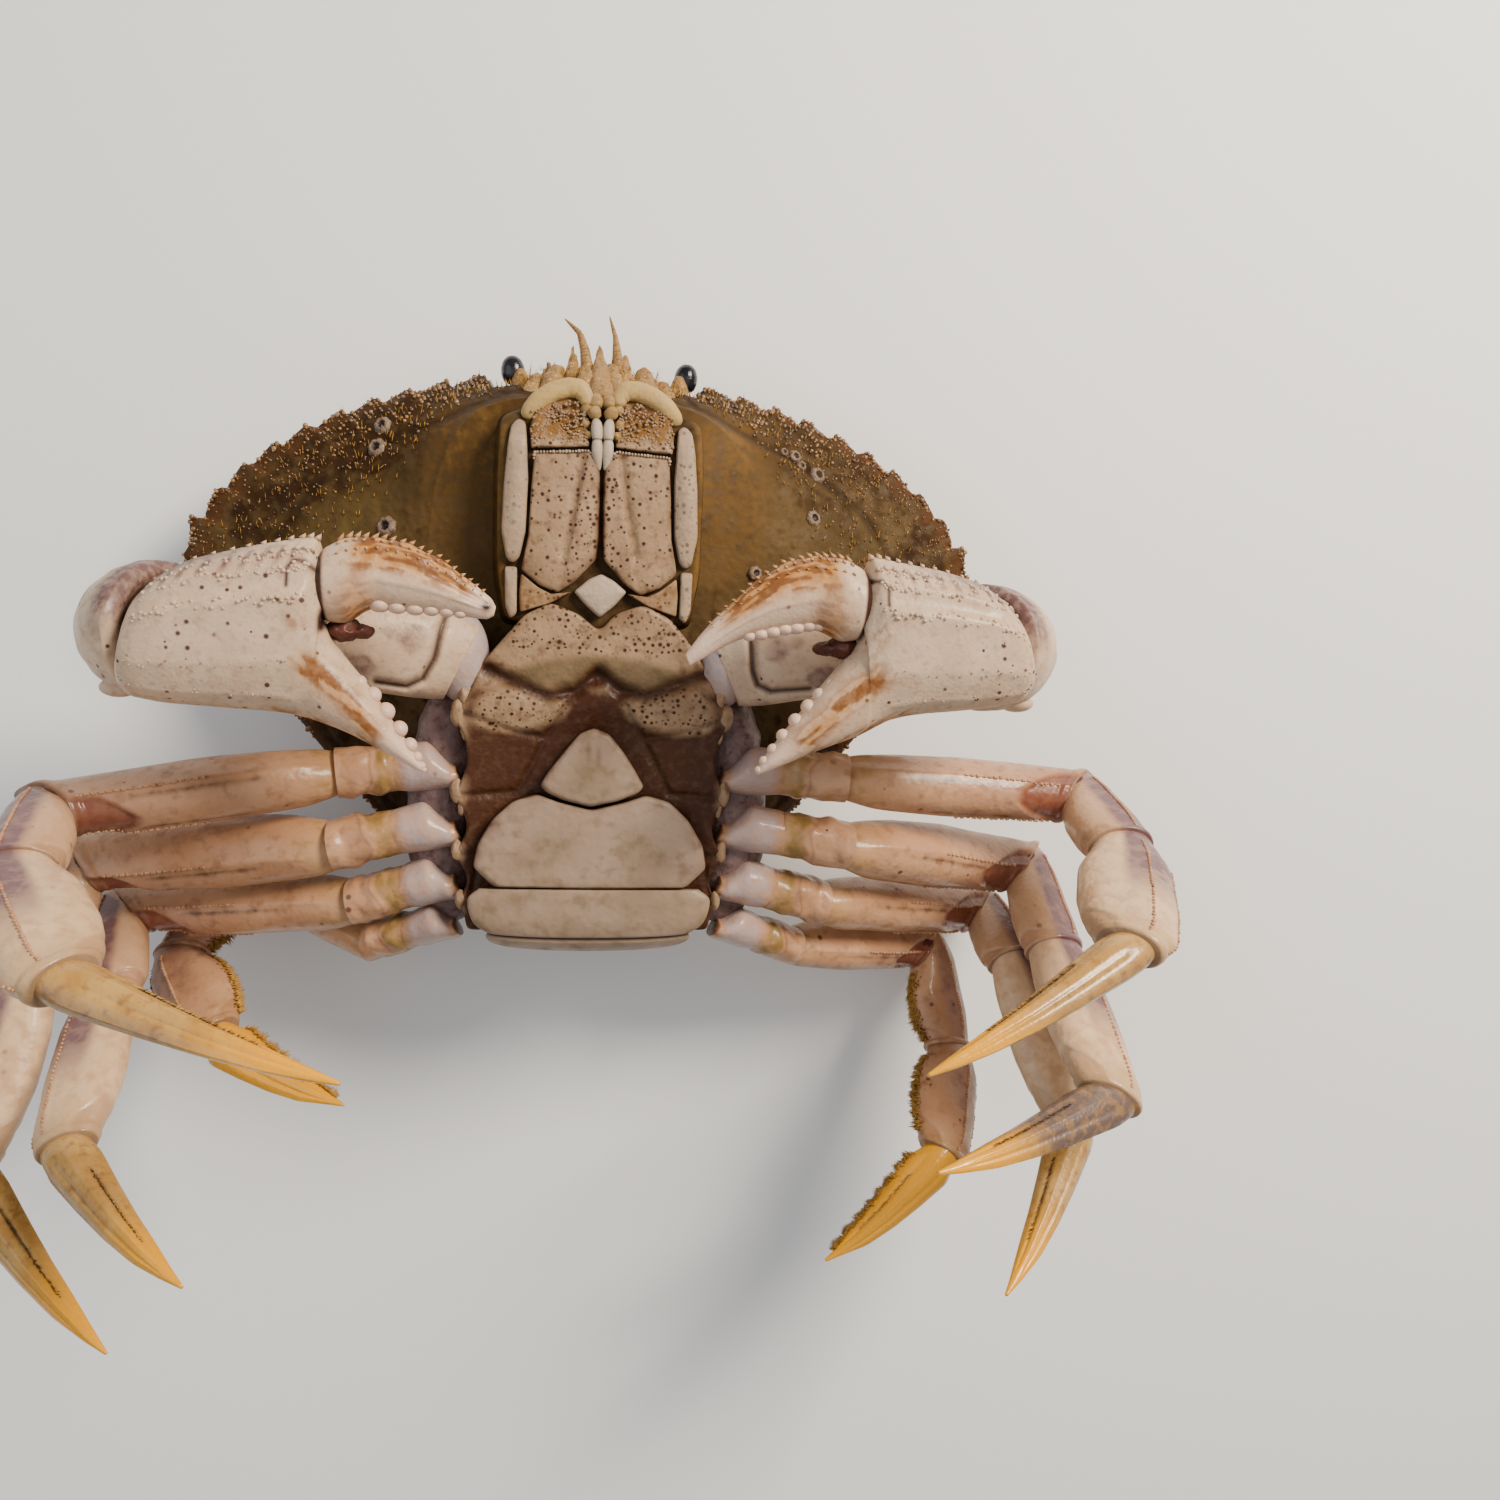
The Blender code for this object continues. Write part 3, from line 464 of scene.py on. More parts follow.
shell = {
    "halfWidth": 76.0, "widestY": 15.0, "frontReach": 37.5, "rearReach": 64.5, "roundness": 2.0 / 1.8,
    "marginZ": 19.0, "frontZ": 17.5, "restHalf": (22.0, 18.0),
    "bellyZ": 34.0, "bellyHalf": (31.0, 46.7), "bellyMidY": -0.75,
    "sideTeeth": 10, "sideTooth": 1.3, "lastTooth": 2.2, "browX": 21.0,
    "toothWave": ([0.0, 0.1, 0.22, 0.5, 0.85, 1.0], [-0.15, 0.9, 1.0, 0.6, 0.15, -0.15]),
    "frontTooth": 2.3, "frontToothGap": 4.5, "orbitX": 16.4, "orbitDepth": 5.0,
    "neck": [(11, 33), (13, 22), (9, 10), (14, 1), (24, -4)],
    "heart": [(9, 8), (12, -6), (11, -18), (8, -28)],
    "cheek": [(17.5, 46.5), (27, 42), (40, 37), (54, 27), (62, 14), (60, -2), (50, -20), (36, -34)],
    "samples": 1500, "around": 440, "topRows": 62, "rows": 96,
}


# Half the edge, from the middle of the front to the middle of the rear: a rounded quarter oval, then a
# curve that falls to the rear. A tooth is how far the edge is pushed out: waves that rise fast and fall
# slowly at the side, rounded ones between the eyes, and a dip for the eye
def shellEdge(spec, half):
    samples = spec["samples"]
    turn = np.linspace(0.0, np.pi / 2.0, samples)
    frontX = spec["halfWidth"] * np.sin(turn) ** spec["roundness"]
    frontY = spec["widestY"] + spec["frontReach"] * np.cos(turn) ** spec["roundness"]
    inward = np.linspace(0.0, 1.0, samples)[1:] ** 2
    rearX = spec["halfWidth"] * (1.0 - inward)
    rearY = spec["widestY"] - spec["rearReach"] * np.minimum(1.0, 1.45 * inward ** 0.8)
    line = np.stack([np.concatenate([frontX, rearX]), np.concatenate([frontY, rearY])], 1)
    run = runAlong(line)
    at = np.linspace(0.0, run[-1], half)
    edge = np.stack([np.interp(at, run, line[:, k]) for k in (0, 1)], 1)
    x = edge[:, 0]
    brow = np.interp(spec["browX"], frontX, run[:samples])
    wide = run[samples - 1]
    phase = (at - brow) / (wide - brow) * spec["sideTeeth"]
    wave = np.interp(phase % 1.0, *spec["toothWave"])
    last = ease(8.6, 9.2, phase)
    size = spec["sideTooth"] + (spec["lastTooth"] - spec["sideTooth"]) * last
    tooth = np.where((phase > 0.0) & (phase < spec["sideTeeth"]), wave * size, 0.0)
    tooth += bump(at, wide + 0.6, 1.6) * spec["lastTooth"]
    rounded = spec["frontTooth"] * (0.5 + 0.5 * np.cos(fullTurn * x / spec["frontToothGap"])) ** 1.6
    front = np.where((x < 12.0) & (at < brow), rounded, 0.0)
    socket = ease(4.6, 2.6, abs(x - spec["orbitX"])) * spec["orbitDepth"] * (at < brow + 2.0)
    return edge, tooth + front * ease(12.5, 10.5, x) - socket


def shellRim(spec):  # the whole edge, its teeth, the ways out of it and its height, lower at the front
    half = spec["around"] // 2 + 1
    edge, tooth = shellEdge(spec, half)
    line = np.concatenate([edge, edge[1:-1][::-1] * (-1.0, 1.0)])
    tooth = np.concatenate([tooth, tooth[1:-1][::-1]])
    tangent = np.roll(line, -2, 0) - np.roll(line, 2, 0)
    normal = unit(np.stack([-tangent[:, 1], tangent[:, 0]], 1))
    front = np.maximum(0.0, (line[:, 1] - spec["widestY"]) / spec["frontReach"])
    height = spec["marginZ"] + (spec["frontZ"] - spec["marginZ"]) * front ** 2
    return {"line": line, "tooth": tooth, "normal": normal, "height": height}


# Rows from an inner line (share 0) to the edge (share 1); the teeth come in from toothFrom outward
def shellRows(rim, shares, inner, toothFrom, zOf):
    share = shares[:, None]
    push = ease(toothFrom, 1.0, share) * rim["tooth"]
    flat = inner + (rim["line"] - inner) * share[..., None] + rim["normal"] * push[..., None]
    return np.concatenate([flat, zOf(share, rim["height"])[..., None]], -1)


def makeShellTop(spec, rim):  # the height grows with the square of the share of the way out
    line = rim["line"]
    rest = line / np.hypot(line[:, 0] / spec["restHalf"][0], line[:, 1] / spec["restHalf"][1])[:, None]
    shares = np.linspace(0.0, 1.0, spec["topRows"]) ** 0.8
    top = shellRows(rim, shares, rest, 0.72, lambda share, edgeZ: edgeZ * share ** 2)
    x, y = top[..., 0], top[..., 1]
    grooves = np.minimum(lineGap(abs(x), y, spec["neck"]), lineGap(abs(x), y, spec["heart"]))
    share = shares[:, None]
    sink = bump(grooves, 0.0, 1.8) * 0.9 + (0.25 + wobble(top, 9.0, 1) * 0.45) * ease(0.0, 0.3, share)
    top[..., 2] += np.maximum(sink, 0.0) * ease(1.0, 0.9, share)
    top[..., 2] += wobble(top, 1.3, 2) * 0.16 * ease(0.02, 0.2, share)
    inside = top[-1:] * (0.9, 0.9, 1.0) + (0.0, 0.0, 1.2)
    margin = np.concatenate([ease(0.86, 1.0, share) * np.ones_like(x), np.ones((1, len(line)))])
    seam = np.concatenate([bump(grooves, 0.0, 1.2) * 0.7, np.zeros((1, len(line)))])
    patch = tube(np.concatenate([top, inside]), margin=margin, seam=seam)
    makePiece("shellTop", [patch], "shellTop", ["carapace"])


# From just inside the edge up to the flat that carries the plates and legs, a box with rounded corners
def makeShellUnder(spec, rim):
    line = rim["line"]
    across = abs(line[:, 0] / spec["bellyHalf"][0]) ** 4
    along = abs((line[:, 1] - spec["bellyMidY"]) / spec["bellyHalf"][1]) ** 4
    middle = np.array([0.0, spec["bellyMidY"]])
    belly = middle + (line - middle) / ((across + along) ** 0.25)[:, None]
    shares = np.linspace(1.0, 0.0, spec["rows"]) ** 1.15
    under = shellRows(rim, shares, belly, 0.6, lambda s, z: z + (spec["bellyZ"] - z) * (1.0 - s) ** 0.8)
    x, y = under[..., 0], under[..., 1]
    share = shares[:, None]
    cheek = lineGap(abs(x), y, spec["cheek"])
    under[..., 2] -= bump(cheek, 0.0, 0.9) * 0.5 * ease(0.0, 0.1, share)
    rough = wobble(under, 12.0, 3) * 0.8 + wobble(under, 4.5, 5) * 0.4 + wobble(under, 2.2, 4) * 0.25
    under[..., 2] += rough * ease(0.0, 0.15, share) * ease(1.0, 0.88, share)
    # front: darker brown toward the front, the shell's own dark front, with painted shade laid heavier on
    # the side where x is below nought
    front = ease(26.0, 46.0, y + abs(x) * 0.12) * (0.55 + 0.5 * ease(10, 50, -x + 20))
    patches = 0.8 * ease(0.02, 0.16, wobble(under, 15.0, 6)) * ease(0.35, 0.85, share)
    pale = bump(share, 0.55, 0.3) * bump(y, 22.0, 12.0) * ease(12.0, 24.0, abs(x)) * (0.4 + 0.6 * (x < 0))
    gold = ease(40.0, 22.0, abs(x)) * ease(8.0, 20.0, y) * ease(48.0, 40.0, y) * ease(-34.0, 10.0, x + 24.0)
    masks = {
        "margin": ease(0.86, 1.0, share) * np.ones_like(x), "front": np.clip(front + patches, 0.0, 1.0),
        "pale": pale * 0.8, "gold": gold * 0.8, "seam": bump(cheek, 0.0, 0.8) * 0.6,
    }
    masks = {key: np.concatenate([mask[:1], mask]) for key, mask in masks.items()}
    lip = under[:1] * (0.97, 0.97, 1.0) + (0.0, 0.0, -0.8)
    patch = tube(np.concatenate([lip, under]), **masks)
    makePiece("shellUnder", [patch], "shellUnder", ())
    return under


rim = shellRim(shell)
makeShellTop(shell, rim)
under = makeShellUnder(shell, rim)
print("shell made")

granules = {
    "edgeCount": 1400, "edgeSize": (0.22, 0.6), "skinCount": 3400, "skinSize": (0.14, 0.42),
    "tuftCount": 1700, "tuftLength": (0.7, 1.9), "tuftRadius": 0.13,
}


# Beads thrown along the rim and over the outer underside, with golden tufts of hair toward the front. The
# gold laid on each bead, at a random strength, is painted glint
def makeGranules(spec):
    dice = np.random.default_rng(11)
    pick = dice.integers(0, len(rim["line"]), spec["edgeCount"])
    push = rim["tooth"][pick] + dice.uniform(-1.3, 0.1, len(pick))
    out = rim["line"][pick] + rim["normal"][pick] * push[:, None]
    lift = dice.uniform(-1.1, 1.0, len(pick))
    edge = np.column_stack([out, rim["height"][pick] + lift])
    size = dice.uniform(*spec["edgeSize"], len(pick))
    rows, around = under.shape[:2]
    row = (dice.beta(1.0, 2.4, spec["skinCount"]) * (rows * 0.55)).astype(int) + 1
    column = dice.integers(0, around, spec["skinCount"])
    skin = under[row, column][under[row, column, 1] > -8.0]
    small = dice.uniform(*spec["skinSize"], len(skin)) * (0.7 + 0.5 * ease(30.0, 46.0, skin[:, 1]))
    # a random strength of painted glint for each bead on the rim
    beadGlint = dice.uniform(0.2, 1.0, len(edge))
    edgeBeads = beads(edge, size, 7, 4, bead=beadGlint * 0.9)
    skinBeads = beads(skin, small, 6, 3, bead=dice.uniform(0.0, 1.0, len(skin)) ** 1.5)
    makePiece("shellGranules", [edgeBeads, skinBeads], "shellBead", ())
    row = (dice.beta(1.3, 1.6, spec["tuftCount"]) * (rows * 0.6)).astype(int) + 2
    column = dice.integers(0, around, spec["tuftCount"])
    root = under[row, column][under[row, column, 1] > 6.0]
    count = len(root)
    across, ahead = dice.normal(0, 0.25, count), 0.9 + dice.normal(0, 0.2, count)
    way = np.column_stack([across, ahead, np.full(count, 0.55)])
    tufts = spikes(root, way, dice.uniform(*spec["tuftLength"], count), spec["tuftRadius"])
    makePiece("shellTufts", [tufts], "hair", ())


makeGranules(granules)

# Barnacles: x, y and radius of each, and the height of its wall at shares of the radius
barnacles = {
    "spots": [
        (-40.6, 39.9, 2.1), (-41.5, 35.8, 2.3), (-39.1, 20.9, 2.4), (39.4, 38.1, 1.6), (40.7, 36.3, 1.3),
        (44.1, 34.5, 2.1), (42.9, 26.0, 2.0), (28.3, 14.7, 1.7), (37.0, 38.9, 1.1),
    ],
    "size": 0.85, "height": 0.45, "around": 28, "ribs": 7, "ribDepth": 0.07,
    "wall": [(1.0, -0.6), (0.98, 0.1), (0.86, 0.5), (0.66, 0.85), (0.5, 0.9), (0.42, 0.65), (0.34, 0.15),
             (0.1, 0.1)],
    "mouth": (0, 0, 0, 0, 0, 0.6, 1, 1.0),
}


# Ribbed rings round the way up from the shell, one for each step of the wall
def makeBarnacles(spec):
    patches = []
    flat = under.reshape(-1, 3)
    angle = np.arange(spec["around"]) * fullTurn / spec["around"]
    ribs = 1.0 + spec["ribDepth"] * np.cos(angle * spec["ribs"])
    for x, y, radius in spec["spots"]:
        radius *= spec["size"]
        near = flat[np.argmin((flat[:, 0] - x) ** 2 + (flat[:, 1] - y) ** 2)]
        up = unit(np.array([x * 0.012, y * 0.012, 1.0]))
        side = unit(np.cross(up, (0.0, 1.0, 0.0)))
        other = np.cross(up, side)
        circle = np.cos(angle)[:, None] * side + np.sin(angle)[:, None] * other
        rings = np.array([
            near + radius * (share * ribs[:, None] * circle) + up * lift * radius * spec["height"]
            for share, lift in spec["wall"]
        ])
        patches.append(tube(rings, seam=np.array(spec["mouth"])[:, None]))
    makePiece("barnacles", patches, "barnacle", ())


makeBarnacles(barnacles)


# Underside plates: a closed outline carried in to its middle over a rounded rim, with a skirt

# Corners joined by straight lines, shared out evenly and softened all the way round
def closedLine(corners, count, softness):
    corners = np.array(corners + corners[:1], float)
    run = runAlong(corners)
    at = np.arange(count) * run[-1] / count
    line = np.stack([np.interp(at, run, corners[:, k]) for k in (0, 1)], 1)
    for _ in range(softness):
        line = 0.25 * np.roll(line, 1, 0) + 0.5 * line + 0.25 * np.roll(line, -1, 0)
    return line


# Rings at shares of the way from the middle to the outline. The dome falls with the square of the share,
# the rim is a quarter circle, and the skirt drops from it to low. relief gives a height and masks
def plate(outline, low, top, rim, dome, relief=None, count=160, rows=30, softness=6, middle=None, flare=0.0):
    line = closedLine(outline, count, softness)
    centre = line.mean(0) if middle is None else np.array(middle, float)
    reach = np.linalg.norm(line - centre, axis=1).mean()
    rimStart = 1.0 - rim / reach
    shares = np.concatenate([np.linspace(0.03, rimStart, rows), np.linspace(rimStart, 1.0, 8)[1:]])
    share = shares[:, None]
    flat = centre + (line - centre) * share[..., None]
    x, y = flat[..., 0], flat[..., 1]
    inRim = np.clip((share - rimStart) / (rim / reach), 0.0, 1.0)
    high = top(x, y) if callable(top) else np.full(x.shape, float(top))
    z = high + dome * (1.0 - share ** 2) - rim * (1.0 - np.sqrt(1.0 - 0.97 * inRim ** 2))
    stain = ease(0.8, 1.0, share) * (0.22 + 0.5 * wobble(flat, 3.2, 24))  # the margins are browner in places: a brown tint, with painted shade where each plate rounds down to its seam
    masks = {"seam": ease(0.9, 1.0, inRim) * 0.8 * np.ones_like(x), "brown": np.clip(stain, 0.0, 1.0)}
    if relief:
        lift, more = relief(x, y)
        z = z + lift
        for key, mask in more.items():
            masks[key] = np.clip(masks.get(key, np.zeros_like(x)) + mask, 0.0, 1.0)
    rings = np.stack([x, y, z], -1)
    skirt = np.repeat(rings[-1:], 2, 0)
    skirt[0, :, 2] = 0.5 * (skirt[0, :, 2] + low)
    skirt[1, :, 2] = low
    skirt[1, :, :2] += (line - centre) * flare
    masks = {key: np.concatenate([mask, mask[-1:], mask[-1:]]) for key, mask in masks.items()}
    masks["seam"][-2:] = 1.0
    return tube(np.concatenate([rings, skirt]), **masks)


def onSide(outline, side, middle):  # x measured out from the middle line, put on one side of it
    return [(middle + side * x, *rest) for x, *rest in outline]


# Breastplate: a shield in front of a cross groove, and a hollow behind it with a raised patch each side
sternum = {
    "top": 46.0, "low": 34.3, "rim": 0.9, "middle": (0.0, -24.0), "rearEnd": (0.0, -53.0),
    "cross": [
        (-19.5, -4.6), (-12.7, -7.6), (-8.7, -9.2), (-3.6, -8.4), (0.5, -4.6), (5.0, -7.9), (9.0, -8.9),
        (14.0, -7.2), (20.5, -4.4),
    ],
    "side": [
        (20.8, -4), (22.4, -8), (24, -11), (25.5, -13.2), (24.2, -15.2), (22.9, -18.5), (22.9, -22.5),
        (24, -25.6), (25.4, -27.6), (24, -29.4), (22.7, -32.5), (22.8, -35), (23.9, -37), (25, -38.6),
        (23.6, -40.4), (22.3, -43.5), (23.2, -46.2), (24.2, -47.8), (23, -49.5), (22.4, -53),
    ],
    "front": [
        (17.4, 1.2), (13.6, 5.6), (8.6, 8.0), (3.8, 6.4), (0.6, 3.0), (-3.2, 6.0), (-8.2, 7.9),
        (-12.9, 5.6), (-16.8, 1.0),
    ],
    "steps": [
        [(5.5, -10.5), (9.0, -17.0), (15.5, -15.6), (24.6, -12.6)],
        [(9.0, -17.0), (14.0, -27.0), (24.6, -27.8)],
        [(16.5, -32.0), (20.0, -39.0), (24.6, -38.6)],
        [(21.0, -41.0), (22.4, -47.6), (24.6, -47.6)],
    ],
    "knobs": [
        (23.4, -9.4, 1.3), (24.6, -12.6, 1.5), (23.2, -16.0, 1.0), (24.6, -27.0, 1.4), (23.6, -30.0, 0.9),
        (24.4, -38.0, 1.2), (23.7, -47.2, 1.1),
    ],
    "diamond": [
        (0.8, 13.4), (3.2, 12.2), (5.6, 10.2), (3.4, 7.6), (0.7, 5.3), (-1.8, 7.4), (-4.2, 10.0),
        (-1.4, 12.4),
    ],
    "diamondTop": 45.2,
}


# Height: two swellings and the patches, less the hollow, the grooves' bell curves and a pit in the middle
def sternumRelief(x, y):
    ax = abs(x - 0.4)
    cross = lineGap(x, y, sternum["cross"])
    steps = np.minimum.reduce([lineGap(ax, y, line) for line in sternum["steps"]])
    rise = bump(x, -8.0, 7.5) + bump(x, 8.0, 7.5)
    shield = ease(-8.5, -6.0, y)
    hollow = ease(-9.0, -17.0, y) * ease(24.0, 15.0, ax + np.maximum(0.0, -30.0 - y) * -0.12)
    patch = ease(1.25, 0.75, np.hypot((ax - 13.8) / 8.6, (y + 11.4 - 0.12 * (14.0 - ax)) / 4.4))
    pit = bump(np.hypot(x - 0.5, y + 6.0), 0.0, 1.4)
    lift = 0.5 * rise * shield + patch * 0.9 - hollow * 1.0 - bump(cross, 0.0, 1.3) * 1.3
    lift = lift - bump(steps, 0.0, 0.7) * 0.5 - pit
    lift += wobble(np.stack([x, y], -1), 2.4, 21) * 0.1
    brown = np.clip(ease(-7.0, -9.5, y) * (1.0 - patch * 1.35), 0.0, 1.0) * ease(24.6, 21.8, ax) ** 0.6
    olive = ease(-0.6, -2.6, y + 0.012 * ax ** 2) * ease(-8.4, -6.6, y) * ease(19.0, 13.0, ax) * 0.9
    return lift, {
        "seam": bump(cross, 0.0, 0.7) * 0.6 + bump(steps, 0.0, 0.4) * 0.35,
        "brown": np.clip(brown + bump(cross, 0.0, 1.7) * 0.9 + pit, 0.0, 1.0), "olive": olive,
        "dots": np.clip(ease(-2.0, 0.5, y) + patch * 1.2, 0.0, 1.0),
    }


def makeSternum(spec):  # the shield, its knobs mirrored to both sides, and the diamond ahead of it
    low, side = spec["low"], spec["side"]
    outline = side[::-1] + spec["front"] + [(-x, y) for x, y in side] + [spec["rearEnd"]]
    body = plate(outline, low, spec["top"], spec["rim"], 0.0, sternumRelief, 420, 112, 5, spec["middle"])
    makePiece("sternumPlate", [body], "plateCream", ["sternum"])
    knobs = np.array([(x * s, y, spec["top"] - 1.0, r) for x, y, r in spec["knobs"] for s in (1, -1)])
    knob = beads(knobs[:, :3], knobs[:, 3:] * (0.85, 1.7, 0.8), 20, 12, white=0.1, gold=0.3)
    makePiece("sternumKnobs", [crumple(knob, 1.1, 23, 0.35)], "plateCream", ())
    diamond = plate(spec["diamond"], low, spec["diamondTop"], 0.8, 0.5, lambda x, y: (0.0, {"white": 0.65}),
                    80, 16, 2)
    makePiece("sternumDiamond", [diamond], "plateCream", ())


makeSternum(sternum)

# Apron: two plates, and the last segments as an oval strip along an arc that wraps round the rear edge.
# A row of the arc is y, z, half the width and the pitch in degrees
apron = {
    "low": 46.3, "thick": 3.6, "sixthMiddle": (0.0, -37.0),
    "telson": [
        (0.0, -14.5), (-2.6, -15.6), (-5.4, -19.1), (-8.3, -22.9), (-9.6, -25.2), (-8.6, -26.4),
        (-5.6, -27.8), (-0.4, -29.1), (4.8, -27.9), (8.4, -26.4), (9.4, -25.2), (7.8, -22.4),
        (5.6, -19.0), (2.8, -15.6),
    ],
    "sixth": [
        (-10.0, -26.9), (-14.4, -28.2), (-18.0, -31.6), (-20.6, -36.2), (-21.4, -40.4), (-17.6, -44.1),
        (0.0, -44.3), (17.6, -44.1), (21.4, -40.4), (20.6, -36.0), (17.8, -31.4), (14.2, -28.0),
        (9.8, -26.8), (6.0, -28.2), (0.0, -29.7), (-6.0, -28.3),
    ],
    "rear": [
        (-44.5, 48.1, 20.2, 0), (-46.2, 48.2, 22.6, 2), (-50.0, 48.1, 21.8, 11), (-53.0, 47.3, 19.8, 34),
        (-54.8, 45.2, 18.2, 62), (-55.4, 41.8, 17.4, 82), (-55.4, 37.4, 16.8, 92),
        (-54.6, 31.2, 15.4, 100), (-53.2, 25.2, 13.6, 104), (-52.4, 21.8, 12.2, 104),
    ],
    "folds": (0.33, 0.52, 0.7, 0.87), "rearRows": 150, "rearAround": 90,
}


def telsonLook(x, y):  # flat, with an olive patch and two short brown marks ahead of it
    return 0.0, {
        "olive": bump(x, 0.0, 5.0) * bump(y, -24.0, 4.0) * 0.6,
        "brown": bump(abs(x), 0.9, 0.5) * bump(y, -19.0, 1.6) * 0.5,
    }


def sixthLook(x, y):  # two shallow dimples
    dimple = bump(abs(x), 9.5, 4.0) * bump(y, -37.0, 3.2)
    return -0.4 * dimple, {
        "olive": 0.7 * dimple + 0.35 * ease(-41.0, -44.0, y),
        "brown": 0.35 * bump(abs(x), 12.0, 3.0) * bump(y, -39.0, 2.0),
    }


# The strip's thickness is laid off across the arc; folds are bell curves along it that sink and narrow
def apronRear(spec):
    path = spread(spec["rear"], spec["rearRows"], 40)
    y, z, half, pitch = (path[:, k, None] for k in range(4))
    angle, c, s = oval(spec["rearAround"], 2.6)
    t = np.linspace(0, 1, spec["rearRows"])[:, None]
    seams = sum(bump(t, fold, 0.012) for fold in spec["folds"])
    notch = sum(bump(t, fold, 0.04) for fold in spec["folds"][:3])
    lift = s * (spec["thick"] / 2.0 - 0.5 * seams * (s > 0)) + 0.35 * (1.0 - c * c) * (s > 0)
    a = np.radians(pitch)
    rings = np.stack([c * half * (1.0 - 0.06 * notch), y - lift * np.sin(a), z + lift * np.cos(a)], -1)
    olive = np.clip(0.2 + 0.3 * wobble(rings, 9.0, 31), 0, 1)
    return tube(rings, seam=np.clip(seams * (s > -0.2), 0, 1), olive=olive)


def makeApron(spec):  # two domed plates, the second a little lower, and the strip behind them
    low, top = spec["low"], spec["low"] + spec["thick"]
    telson = plate(spec["telson"], low, top, 1.0, 0.5, telsonLook, 140, 40, 3)
    makePiece("telsonPlate", [telson], "apronCream", ["telson"])
    sixth = plate(spec["sixth"], low, top - 0.3, 1.1, 0.4, sixthLook, 220, 60, 3, spec["sixthMiddle"])
    makePiece("apronSixth", [sixth], "apronCream", ["abdomen_front"])
    makePiece("apronRear", [apronRear(spec)], "apronCream", ["abdomen_rear"])


makeApron(apron)
print("underside plates made")

# Mouthparts of one side, measured out from the middle line. Rows of the rods are x, y, z and radius
mouth = {
    "middle": 0.5, "low": 34.3, "top": 45.0, "slopeFrom": 36.0, "slope": 0.42,
    "bed": [
        (-18.4, 41.5), (-18.8, 30.0), (-18.6, 14.0), (-17.0, 4.5), (0.0, 2.5), (17.0, 4.5), (18.6, 14.0),
        (18.8, 30.0), (18.4, 41.5), (9.0, 45.0), (0.0, 44.0), (-9.0, 45.0),
    ],
    "ischium": [
        (0.55, 33.4), (2.6, 35.5), (5.0, 35.2), (12.2, 34.8), (12.7, 28.0), (13.0, 20.0), (14.0, 15.2),
        (14.2, 13.6), (11.0, 11.0), (7.6, 9.6), (4.6, 11.6), (0.6, 16.0), (0.3, 20.0), (0.3, 30.6),
    ],
    "ischiumMiddle": (6.8, 23.5), "groove": [(3.6, 34.2), (4.2, 30.0), (4.9, 25.0), (6.6, 17.0)],
    "basis": [(14.2, 13.0), (14.5, 9.6), (14.3, 5.9), (9.0, 7.6), (4.9, 10.0), (7.7, 9.0), (11.0, 10.5)],
    "exopod": [
        (13.9, 40.4), (15.2, 41.0), (16.5, 39.6), (17.0, 36.0), (17.6, 29.0), (17.9, 20.5), (16.9, 15.4),
        (15.6, 14.6), (14.5, 15.8), (13.5, 20.5), (13.2, 30.0), (13.6, 37.6),
    ],
    "foot": [(14.9, 14.2), (17.2, 14.2), (17.0, 7.0), (16.0, 4.6), (14.8, 5.6)],
    "merus": [
        (2.3, 36.2), (2.5, 41.0), (4.0, 45.0), (8.0, 46.2), (12.0, 43.6), (13.2, 39.0), (12.8, 35.4),
        (7.0, 35.8),
    ],
    "arch": [
        (13.9, 41.0, 40.6, 1.1), (13.2, 42.6, 40.9, 1.5), (11.6, 44.4, 41.0, 1.75),
        (9.2, 46.0, 40.8, 1.85), (6.4, 47.0, 40.5, 1.85), (4.2, 46.9, 40.6, 1.8), (3.1, 45.4, 41.0, 1.5),
        (2.9, 43.8, 41.6, 1.0),
    ],
    "palp": [
        (1.4, 41.4, 43.2, 0.45), (1.15, 40.4, 44.0, 0.95), (1.05, 39.2, 44.4, 1.1),
        (1.0, 38.1, 44.7, 1.0), (1.0, 37.4, 44.9, 0.8), (1.0, 36.6, 45.0, 0.98), (0.95, 35.2, 45.1, 1.02),
        (0.8, 33.6, 45.0, 0.75), (0.5, 32.0, 44.8, 0.3),
    ],
    "knobs": [
        (1.5, 42.4, 42.6, 1.25), (1.3, 44.6, 40.8, 1.5), (2.9, 43.2, 41.2, 1.1), (3.0, 40.4, 42.6, 0.9),
        (2.6, 38.4, 43.6, 0.8),
    ],
    "beadCount": 260,
}


def mouthTop(x, y):  # flat, then sloping down to the front
    return mouth["top"] - mouth["slope"] * np.maximum(0.0, y - mouth["slopeFrom"])


# A rod through points with a radius each: a ring across the path at every step, rounded off at both ends
def roundRod(rows, count, around, softness, power=2.0, squash=1.0, **masks):
    path = spread(rows, count, softness)
    centre, radius = path[:, :3], path[:, 3]
    along = unit(np.gradient(centre, axis=0))
    side = unit(np.cross(along, (0.0, 0.0, 1.0)))
    up = np.cross(side, along)
    angle, c, s = oval(around, power)
    ends = np.sqrt(np.clip(1.0 - (np.linspace(-1, 1, count) ** 2) ** 12, 0.02, 1.0))
    reach = (radius * ends)[:, None, None]
    circle = side[:, None] * c[None, :, None] + up[:, None] * s[None, :, None] * squash
    return tube(centre[:, None] + circle * reach, **masks)


